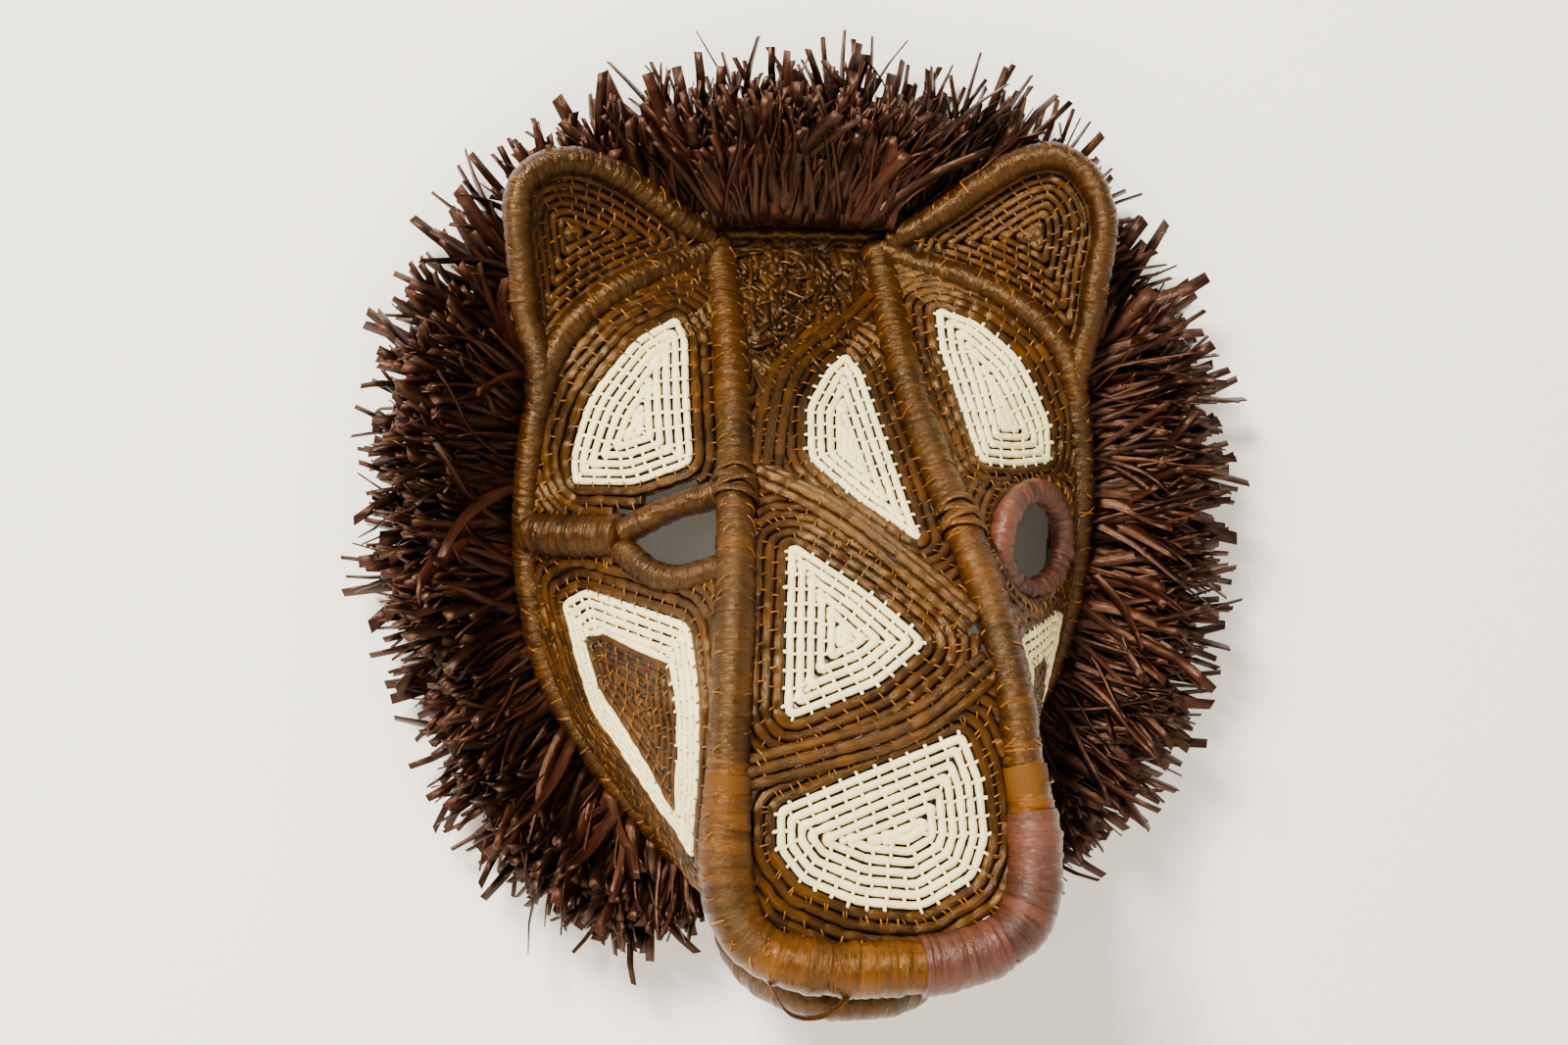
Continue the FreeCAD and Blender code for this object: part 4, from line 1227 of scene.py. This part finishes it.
def make_ribs(rng):
    """The arch rib and the two cross ribs: three broad strands side by side, bound across with gold."""
    chart = centre_chart()
    marks = []
    for name, route, node in (("arch_rib_strands", ARCH_RIB, "arch_rib"),
                              ("upper_cross_strands", UPPER_RIB, "upper_cross_rib"),
                              ("lower_cross_strands", LOWER_RIB, "lower_cross_rib")):
        start, end = np.array(route[0]), np.array(route[-1])
        longer = [tuple(start + unit(start - route[1]) * 4)] + route[1:-1] + [tuple(end + unit(end - route[-2]) * 4)]
        flat = paced(bent(centre_flat(longer)), 0.7)
        heading = headings(flat)
        aside = np.stack([heading[:, 1], -heading[:, 0]], 1)
        weave = Weave()
        for lane, (offset, lift, half) in enumerate([(-3.3, 1.3, 1.9), (0.0, 2.5, 2.0), (3.3, 1.3, 1.9)]):
            line, out = chart.place(flat + aside * offset)
            out = unit(out + np.cross(headings(line), out) * 0.09 * offset)
            coil(weave, line + out * lift, out, rng, False, half, 1.7, 6.4, 0.14, marks, 0.5, 0.35,
                 0.33 * lane)
        woven(name, weave, "leaf_brown", "wrap_tan", node)
    sewn("rib_stitches", marks, "thread_gold", "coil_cream", 1.3, 0.35, 5, **RIB_STITCH)


def make_centre_panels(sizes, rng):
    """The teardrop, triangle and muzzle panels between the ridges."""
    chart = centre_chart()
    for name, region, patch_line in (("teardrop", TEARDROP_REGION, TEARDROP_PATCH),
                                     ("triangle", TRIANGLE_REGION, TRIANGLE_PATCH),
                                     ("muzzle", MUZZLE_REGION, MUZZLE_PATCH)):
        heart = rounded(centre_flat(patch_line))
        patch, border, marks = panel(chart, rounded(centre_flat(region), 0.1), heart, rng, sizes)
        finish_panel(name, patch, border, marks, f"{name}_patch", f"{name}_border")


def finish_panel(name, patch, border, marks, patch_node, border_node):
    """The four pieces of a coiled panel: two weaves and their stitches."""
    woven(f"{name}_cream_rows", patch, "leaf_cream", "coil_cream", patch_node)
    woven(f"{name}_brown_rows", border, "leaf_brown", "coil_brown", border_node)
    sewn(f"{name}_cream_stitches", marks[True], "thread_cream", "coil_cream", 0.62, 0.12, 2, shift=-1.65,
         **CREAM_STITCH)
    sewn(f"{name}_gold_stitches", marks[False], "thread_gold", "coil_cream", 1.05, 0.3, 3, shift=-1.8,
         **PANEL_STITCH)


def make_side_panels(name, sign, sizes, rng):
    """The forehead and cheek of one side."""
    chart = side_chart(sign)
    region = side_flat(FOREHEAD_REGION if name == "left" else RIGHT_FOREHEAD_REGION, True)
    patch, border, marks = panel(chart, region, rounded(side_flat(FOREHEAD_PATCH[name])), rng, sizes)
    finish_panel(f"{name}_forehead", patch, border, marks, f"{name}_forehead_patch",
                 f"{name}_forehead_border")
    region = side_flat(CHEEK_REGION if name == "left" else RIGHT_CHEEK_REGION, True)
    band, center = rounded(side_flat(CHEEK_BAND[name])), rounded(side_flat(CHEEK_CENTER[name]))
    patch, border, marks = panel(chart, region, band, rng, sizes, hole=center)
    finish_panel(f"{name}_cheek", patch, border, marks, f"{name}_cheek_band", f"{name}_cheek_border")
    heart, _, inner = panel(chart, center, center, rng, dict(sizes, patch_pitch=sizes["border_pitch"]))
    woven(f"{name}_cheek_heart_rows", heart, "leaf_brown", "coil_brown", f"{name}_cheek_center")
    sewn(f"{name}_cheek_heart_stitches", inner[True], "thread_gold", "coil_cream", 1.1, 0.35, 4, shift=-1.8,
         **PANEL_STITCH)


def eye_loop(across, up):
    """A loop round the right eye, in the plane of the side."""
    ridge = np.array([*at_level(RIDGE_LINE, EYE_CENTRE_UP), EYE_CENTRE_UP])
    hoop = np.array([*at_level(HOOP_LINE, EYE_CENTRE_UP), EYE_CENTRE_UP])
    way = hoop - ridge
    outward = unit(np.array([-way[1], way[0], 0.0]))
    centre = ridge + way * EYE_RING_SHARE + outward * SIDE_BULGE
    along = unit(way)
    turns = np.linspace(0, 2 * np.pi, EYE_RING_CORNERS, endpoint=False)
    corners = [centre + along * across * math.cos(t) + np.array([0, 0, up * math.sin(t)]) for t in turns]
    return bent([(c[0], -c[1], c[2]) for c in corners], closed=True)


def make_right_eye(sizes, rng):
    """The wrapped ring of the right eye, and the rows round it."""
    ring = Weave()
    wound(ring, paced(eye_loop(EYE_RING_ACROSS + 0.4, EYE_RING_UP + 0.4), 0.5, True), EYE_RING_RADIUS - 0.3,
          rng, closed=True, strip=5.2, swell=0.6, sides=28)
    woven("right_eye_ring_wrapping", ring, "cane_mauve", "wrap_mauve", "right_eye_ring_wrap")
    chart = side_chart(1)
    middle = side_flat([(EYE_RING_SHARE, EYE_CENTRE_UP)])[0]
    turns = np.linspace(0, 2 * np.pi, 60, endpoint=False)
    heart = middle + np.stack([(EYE_RING_ACROSS + 1.5) * np.cos(turns), (EYE_RING_UP + 1.5) * np.sin(turns)],
                              1)
    region = side_flat([(-0.02, -95), (1.02, -95), (1.02, -142), (-0.02, -142)], True)
    _, border, marks = panel(chart, region, heart, rng, sizes, hole=heart)
    # These rows include a dark row of painted shade under each brown row.
    woven("right_eye_rows", border, "leaf_brown", "coil_brown", "right_eye_surround")
    sewn("right_eye_stitches", marks[False], "thread_gold", "coil_cream", 1.2, 0.35, 6, shift=-1.8,
         **PANEL_STITCH)


def make_left_eye(rng):
    """The brow bar and the two lids of the open eye."""
    for name, route, radius, node in (("left_brow_wrapping", LEFT_BROW_BAR, BROW_RADIUS, "left_brow_bar"),
                                      ("left_upper_lid_wrapping", LEFT_UPPER_LID, LID_RADIUS + LID_SKIN,
                                       "left_upper_lid"),
                                      ("left_lower_lid_wrapping", LEFT_LOWER_LID, LID_RADIUS + LID_SKIN,
                                       "left_lower_lid")):
        line = bent(on_side([s for s, _ in route], [u for _, u in route], -1))
        weave = Weave()
        wound(weave, line, radius, rng, strip=2.6, sides=22)
        woven(name, weave, "cane_russet", "wrap_tan", node)


def make_ears(sizes, rng):
    """The cupped panels of the ears: rows that echo the rim."""
    marks = []
    for name, sign in (("left", -1), ("right", 1)):
        rim = paced(bent(places(EAR_ROUTES[name][1:-1])), 3.0)
        foot = paced(bent(places([(sign * a, f, u) for a, f, u in reversed(HOOP_HALF[:5])])), 3.0)
        loop = np.vstack([rim, foot])
        centre = loop.mean(0)
        normal = unit(np.cross(loop, np.roll(loop, -1, 0)).sum(0))
        normal = normal if normal[1] < 0 else -normal
        right = unit(np.cross((0.0, 0.0, 1.0), normal))
        rise = np.cross(normal, right)
        edge = np.stack([(loop - centre) @ right, (loop - centre) @ rise], 1)

        def spot(q):
            cup = 6.0 * (1 - np.exp(-nearest(edge, q)[0] / 9.0))
            return centre + q[:, :1] * right + q[:, 1:] * rise - normal * cup[:, None]

        weave = Weave()
        chart = Chart(spot, normal)
        for _, number, flat, closed in rows(edge, edge, sizes["ear_pitch"], 99.0):
            flat = relaxed(paced(relaxed(flat, closed), 0.8, closed), closed)
            if len(flat) > 3:
                line, out = chart.place(flat)
                coil(weave, line, out, rng, closed, sizes["ear_pitch"] * 0.45, 1.3, 5.2, 0.2, marks, 0.5, 0.4,
                     0.5 * (number % 2))
        woven(f"{name}_ear_rows", weave, "leaf_brown", "coil_dark", f"{name}_ear_panel")
    sewn("ear_stitches", marks, "thread_gold", "coil_brown", 1.1, 0.3, 8, shift=-1.5, **EAR_STITCH)


def make_jaw_floor(rng):
    """The rows between the two arms of the jaw."""
    line = bent(places(JAW_HALF))
    weave, marks = Weave(), []
    for number, share in enumerate(np.linspace(0.02, 0.9, 24)):
        start = line[int(share * (len(line) - 1))]
        flat = np.linspace(-start[0], start[0], 40)
        row = np.stack([flat, np.full(40, start[1]), start[2] - 1.5 * (1 - (flat / start[0]) ** 2)], 1)
        coil(weave, row, np.tile((0.0, 0.0, 1.0), (40, 1)), rng, False, 1.7, 1.4, 6.0, 0.1, marks, 0.45, 0.3,
             0.5 * (number % 2))
    woven("jaw_floor_rows", weave, "leaf_brown", "coil_brown", "jaw_panel")
    sewn("jaw_floor_stitches", marks, "thread_gold", "coil_cream", 1.1, 0.35, 9, shift=-1.8, **JAW_STITCH)


def make_back_walls(rng):
    """The rows between the face hoop and the back ring."""
    levels = np.linspace(-30, -232, 180)
    for name, sign in (("left", -1), ("right", 1)):
        weave = Weave()
        hoop, ring = np.stack(at_level(HOOP_LINE, levels), 1), np.stack(at_level(RING_LINE, levels), 1)
        for share in np.linspace(0.1, 0.9, 5):
            place = ring * (1 - share) + hoop * share
            row = np.stack([sign * place[:, 0], -place[:, 1], levels], 1)
            row = paced(row, 1.2)
            out = np.tile((float(sign), 0.0, 0.0), (len(row), 1))
            coil(weave, row, out, rng, False, 2.5, 1.5, 6.0, 0.1)
        woven(f"{name}_back_wall_rows", weave, "leaf_brown", "coil_brown", f"{name}_back_wall")


def make_crown_shag(rng):
    """The crown panel: a dark ground with short ragged strips laid over it."""
    chart = centre_chart()
    region = rounded(centre_flat(CROWN_PANEL), 0.1)
    ground = Weave()
    low, high = region.min(0), region.max(0)
    for number, y in enumerate(np.arange(low[1], high[1], 3.2)):
        x = np.arange(low[0], high[0], 0.8)
        flat = np.stack([x, np.full(len(x), y) + np.sin(x / 7) * 0.5], 1)
        keep = inside(region, flat)
        if keep.sum() < 5:
            continue
        line, out = chart.place(flat[keep])
        coil(ground, line, out, rng, False, 1.7, 1.3, 5.0, 0.15, None, 0.3, 0.3, 0.5 * (number % 2))
    woven("crown_ground_rows", ground, "leaf_dark", "coil_dark", "crown_panel")
    flat = rng.uniform(low, high, (1500, 2))
    flat = flat[inside(region, flat)][:430]
    spots, out = chart.place(flat)
    way = rng.normal(-1.57, 0.55, len(flat))
    down = chart.place(flat + np.stack([np.cos(way), np.sin(way)], 1))[0] - spots
    lay = unit(unit(down) + out * 0.22)
    mesh = grown("crown_shag", grow_tree("loose_strips"), spots + out * 0.6, lay, out, dressed("leaf_dark"),
                 extra={"reach": rng.uniform(0.009, 0.02, len(flat))}, narrow=0.0013, broad=0.0036,
                 thickness=0.0005, curl=0.07, sway=0.25, lean=-0.16, twist=0.5, steps=6, seed=21)
    held("crown_shag", mesh, dressed("leaf_dark"), "coil_dark")


def around(points):
    """The turn about the mane's centre and the distance from it of points, in order of turn."""
    offset = points - MANE_CENTRE
    turn = np.arctan2(offset[:, 0], -offset[:, 1])
    turn = np.where(turn < 0, turn + 2 * np.pi, turn)
    order = np.argsort(turn)
    return turn[order], np.linalg.norm(offset, axis=1)[order]


def make_mane(count, rng):
    """The fringe: strips that leave the back of the face hoop and lean forward as they spread."""
    rim, rim_away = around(np.array(MANE_OUTLINE, float))
    ring, ring_away = around(RING_LOOP[:, [0, 2]])
    # Each tier: piece, node, share of the strips, span of turn, distances from the wall, lean and reach.
    tiers = (("mane_back_strips", "mane_back_row", 0.40, (0.29, 5.99), (3.0, 11.0), 0.10, 1.0),
             ("mane_right_strips", "mane_right_row", 0.22, (0.33, 2.1), (12.0, 25.0), 0.30, 0.95),
             ("mane_left_strips", "mane_left_row", 0.22, (4.2, 5.95), (12.0, 25.0), 0.30, 0.95),
             ("mane_top_strips", "mane_top_row", 0.13, (2.86, 3.42), (12.0, 22.0), 0.22, 0.92))
    for k, (name, node, share, span, depth, lean, size) in enumerate(tiers):
        number = int(count * share)
        turn = rng.uniform(*span, number)
        base = np.interp(turn, ring, ring_away, period=2 * np.pi)
        tip = np.interp(turn, rim, rim_away, period=2 * np.pi) * size * 1.07
        forward = rng.uniform(*depth, number)
        start = base + rng.uniform(-3, 7, number)
        if node == "mane_top_row":
            start = base + rng.uniform(-5, 5, number)
        tuft = np.sin(turn * 37 + k) + np.sin(turn * 61 + 2 * k)
        aim = turn + 0.11 * tuft + rng.normal(0, 0.24, number)
        tip = tip * (1 + 0.035 * np.sin(turn * 29 + 2) + 0.03 * np.sin(turn * 53 + k))
        radial = np.stack([np.sin(turn), -np.cos(turn)], 1)
        across, up = (MANE_CENTRE + radial * start[:, None]).T
        spots = np.stack([across, -forward, up], 1)
        rise = rng.normal(lean, 0.12, number)
        lay = unit(np.stack([np.sin(aim), -rise, -np.cos(aim)], 1))
        out = unit(np.cross(np.cross(lay, (0, -1, 0)), lay))
        mesh = grown(name, grow_tree("loose_strips"), spots, lay, out, dressed("mane_leaf"),
                     extra={"reach": (tip - start) * MM}, narrow=0.0017, broad=0.0058, thickness=0.0005,
                     curl=0.08, sway=0.3, lean=0.16, twist=1.1, shortest=0.62, steps=8, seed=31 + 20 * k)
        held(name, mesh, dressed("mane_leaf"), "mane_strip", node)


def dress_cores():
    """The rods' fibre bundles, which show only at the cut ends."""
    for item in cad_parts:
        if item.endswith("_core"):
            for slot in node_object(item).material_slots:
                slot.material = dressed("bundle_fibre")


def node_object(name):
    """The object of a packed node."""
    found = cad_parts[name]
    return found if isinstance(found, bpy.types.Object) else bpy.data.objects[name]


# ---------------------------------------------------------------- stage

def make_stage(sizes):
    """A pale wall that curves into a pale floor, two soft lights and the camera."""
    profile = [(WALL_BACK, WALL_TOP), (WALL_BACK, FLOOR_LEVEL + SWEEP)]
    for k in range(1, SWEEP_STEPS + 1):
        turn = math.pi / 2 * k / SWEEP_STEPS
        profile.append((WALL_BACK - SWEEP * (1 - math.cos(turn)), FLOOR_LEVEL + SWEEP * (1 - math.sin(turn))))
    profile.append((FLOOR_FRONT, FLOOR_LEVEL))
    verts = [(x, y, z) for x in (-WALL_REACH, WALL_REACH) for y, z in profile]
    n = len(profile)
    faces = [(k, k + 1, n + k + 1, n + k) for k in range(n - 1)]
    mesh = bpy.data.meshes.new("wall_and_floor")
    mesh.from_pydata(verts, [], faces)
    mesh.polygons.foreach_set("use_smooth", [True] * len(mesh.polygons))
    mesh.materials.append(plaster_finish("pale_plaster", tuple(sizes["wall"])))
    wall = bpy.data.objects.new("wall_and_floor", mesh)
    bpy.context.scene.collection.objects.link(wall)
    for name, place, size, power in LIGHTS:
        data = bpy.data.lights.new(name, "AREA")
        data.size, data.energy, data.color = size, power, LIGHT_COLOUR
        light = bpy.data.objects.new(name, data)
        light.location = place
        light.rotation_euler = (Vector(LIGHT_TARGET) - light.location).to_track_quat("-Z", "Y").to_euler()
        bpy.context.scene.collection.objects.link(light)
    world = bpy.data.worlds.new("soft_room")
    world.use_nodes = True
    world.node_tree.nodes["Background"].inputs[0].default_value = (*tint(245, 240, 230), 1)
    world.node_tree.nodes["Background"].inputs[1].default_value = WORLD_STRENGTH
    bpy.context.scene.world = world
    turn, rise = math.radians(CAMERA_TURN), math.radians(CAMERA_RISE)
    back = Vector((-math.sin(turn) * math.cos(rise), -math.cos(turn) * math.cos(rise), math.sin(rise)))
    data = bpy.data.cameras.new("camera")
    data.lens, data.sensor_width = CAMERA_LENS, CAMERA_SENSOR
    camera = bpy.data.objects.new("camera", data)
    camera.location = Vector(CAMERA_AIM) + back * CAMERA_AWAY
    look = back.to_track_quat("Z", "Y").to_matrix()
    pan = math.atan(CAMERA_PAN * CAMERA_SENSOR / CAMERA_LENS)
    camera.rotation_euler = (Matrix.Rotation(pan, 3, "Z") @ look).to_euler()
    bpy.context.scene.collection.objects.link(camera)
    bpy.context.scene.camera = camera


# ---------------------------------------------------------------- sizes, operators and panel

class MaskSizes(bpy.types.PropertyGroup):
    """Sizes and colours of the mask."""

    patch_pitch: bpy.props.FloatProperty(name="Cream row pitch", description="From one cream row to the next",
                                         default=0.0033, min=0.002, max=0.006, subtype="DISTANCE",
                                         unit="LENGTH")
    border_pitch: bpy.props.FloatProperty(name="Brown row pitch",
                                          description="From one brown row to the next", default=0.0038,
                                          min=0.002, max=0.008, subtype="DISTANCE", unit="LENGTH")
    patch_stitch: bpy.props.FloatProperty(name="Cream stitch spacing",
                                          description="From stitch to stitch on a cream row", default=0.0058,
                                          min=0.003, max=0.012, subtype="DISTANCE", unit="LENGTH")
    border_stitch: bpy.props.FloatProperty(name="Brown stitch spacing",
                                           description="From stitch to stitch on a brown row", default=0.0062,
                                           min=0.003, max=0.012, subtype="DISTANCE", unit="LENGTH")
    ear_pitch: bpy.props.FloatProperty(name="Ear row pitch", description="From one row of an ear to the next",
                                       default=0.003, min=0.002, max=0.006, subtype="DISTANCE", unit="LENGTH")
    mane_strips: bpy.props.IntProperty(name="Mane strips", description="Number of loose strips in the mane",
                                       default=4600, min=500, max=7500)
    golden: bpy.props.FloatVectorProperty(name="Golden cane",
                                          description="Strip wound on the ridges and the lip",
                                          default=tint(50, 25, 1), min=0, max=1, subtype="COLOR")
    russet: bpy.props.FloatVectorProperty(name="Russet cane",
                                          description="Strip wound on the hoop and the ears' rims",
                                          default=tint(43, 21, 2), min=0, max=1, subtype="COLOR")
    mauve: bpy.props.FloatVectorProperty(name="Mauve cane",
                                         description="Strip wound on the eye ring and the lip's corner",
                                         default=tint(72, 37, 22), min=0, max=1, subtype="COLOR")
    cream: bpy.props.FloatVectorProperty(name="Cream leaf", description="Rows of the patches",
                                         default=tint(244, 225, 160), min=0, max=1, subtype="COLOR")
    brown: bpy.props.FloatVectorProperty(name="Brown leaf",
                                         description="Rows round the patches and in the ears",
                                         default=tint(54, 28, 2), min=0, max=1, subtype="COLOR")
    thread: bpy.props.FloatVectorProperty(name="Gold thread", description="Stitches on the brown rows",
                                          default=tint(108, 64, 12), min=0, max=1, subtype="COLOR")
    mane: bpy.props.FloatVectorProperty(name="Mane leaf", description="Loose strips of the mane",
                                        default=tint(32, 12, 5), min=0, max=1, subtype="COLOR")
    wall: bpy.props.FloatVectorProperty(name="Wall", description="Plaster of the wall and floor",
                                        default=tint(243, 238, 230), min=0, max=1, subtype="COLOR")


def sizes_of(context):
    """The user's sizes, in millimetres, and the colour of the wall."""
    given = context.scene.mask_sizes
    words = ("patch_pitch", "border_pitch", "patch_stitch", "border_stitch", "ear_pitch")
    return {word: getattr(given, word) / MM for word in words} | {"wall": tuple(given.wall)}


def maker(idname, label, text, work):
    """An operator that makes one piece or group of pieces."""
    def execute(self, context):
        work(context)
        return {"FINISHED"}
    name = "MASK_OT_" + idname.split(".")[1]
    return type(name, (bpy.types.Operator,), {"bl_idname": idname, "bl_label": label, "__doc__": text,
                                              "execute": execute, "bl_options": {"REGISTER", "UNDO"}})


def rng_for(number):
    """A source of chance for one group of pieces."""
    return np.random.default_rng(RNG_SEED + number)


def both_ridges(context):
    rng = rng_for(1)
    make_ridge("left", -1, rng)
    make_ridge("right", 1, rng)


def both_sides(context):
    rng = rng_for(7)
    make_side_panels("left", -1, sizes_of(context), rng)
    make_side_panels("right", 1, sizes_of(context), rng)


MAKERS = [
    maker("mask.stage", "Stage", "Set up the wall, the lights and the camera",
          lambda c: make_stage(sizes_of(c))),
    maker("mask.ridges", "Ridges", "Wind the two ridges and tie their bindings", both_ridges),
    maker("mask.lip", "Lip", "Wind the lip roll", lambda c: make_lip(rng_for(2))),
    maker("mask.loose_end", "Loose end", "Hang the loose end of the lip's strip", lambda c: make_loose_end()),
    maker("mask.rods", "Rods", "Wind the hoop, ears, jaw, back ring and crown bar",
          lambda c: make_rods(rng_for(3))),
    maker("mask.ribs", "Ribs", "Lay the arch rib and cross ribs", lambda c: make_ribs(rng_for(4))),
    maker("mask.climbing", "Edge stitches", "Sew the panels to the rods",
          lambda c: make_climbing_stitches(rng_for(15))),
    maker("mask.centre", "Centre panels", "Coil the panels between the ridges",
          lambda c: make_centre_panels(sizes_of(c), rng_for(5))),
    maker("mask.sides", "Side panels", "Coil the forehead and the cheeks", both_sides),
    maker("mask.right_eye", "Right eye", "Wind the ring of the right eye",
          lambda c: make_right_eye(sizes_of(c), rng_for(8))),
    maker("mask.left_eye", "Left eye", "Wind the brow bar and lids of the left eye",
          lambda c: make_left_eye(rng_for(9))),
    maker("mask.ears", "Ears", "Coil the cupped ears", lambda c: make_ears(sizes_of(c), rng_for(10))),
    maker("mask.jaw", "Jaw floor", "Coil the floor of the jaw", lambda c: make_jaw_floor(rng_for(11))),
    maker("mask.back", "Back walls", "Coil the walls behind the face",
          lambda c: make_back_walls(rng_for(12))),
    maker("mask.crown", "Crown", "Lay the ragged crown panel", lambda c: make_crown_shag(rng_for(13))),
    maker("mask.mane", "Mane", "Hang the mane of loose strips",
          lambda c: make_mane(c.scene.mask_sizes.mane_strips, rng_for(14))),
    maker("mask.cores", "Cores", "Finish the fibre bundles inside the rods", lambda c: dress_cores()),
]


class MASK_PT_panel(bpy.types.Panel):
    """Lists the mask's makers."""

    bl_idname = "MASK_PT_panel"
    bl_label = "Coiled Mask"
    bl_space_type = "VIEW_3D"
    bl_region_type = "UI"
    bl_category = "Mask"

    def draw(self, context):
        for word in MaskSizes.__annotations__:
            self.layout.prop(context.scene.mask_sizes, word)
        for made in MAKERS:
            self.layout.operator(made.bl_idname)


CLASSES = [MaskSizes, *MAKERS, MASK_PT_panel]


def register():
    for made in CLASSES:
        bpy.utils.register_class(made)
    bpy.types.Scene.mask_sizes = bpy.props.PointerProperty(type=MaskSizes)


def unregister():
    del bpy.types.Scene.mask_sizes
    for made in reversed(CLASSES):
        bpy.utils.unregister_class(made)


def main():
    register()
    for made in MAKERS:
        group, word = made.bl_idname.split(".")
        getattr(getattr(bpy.ops, group), word)()


if __name__ == "__main__":
    main()
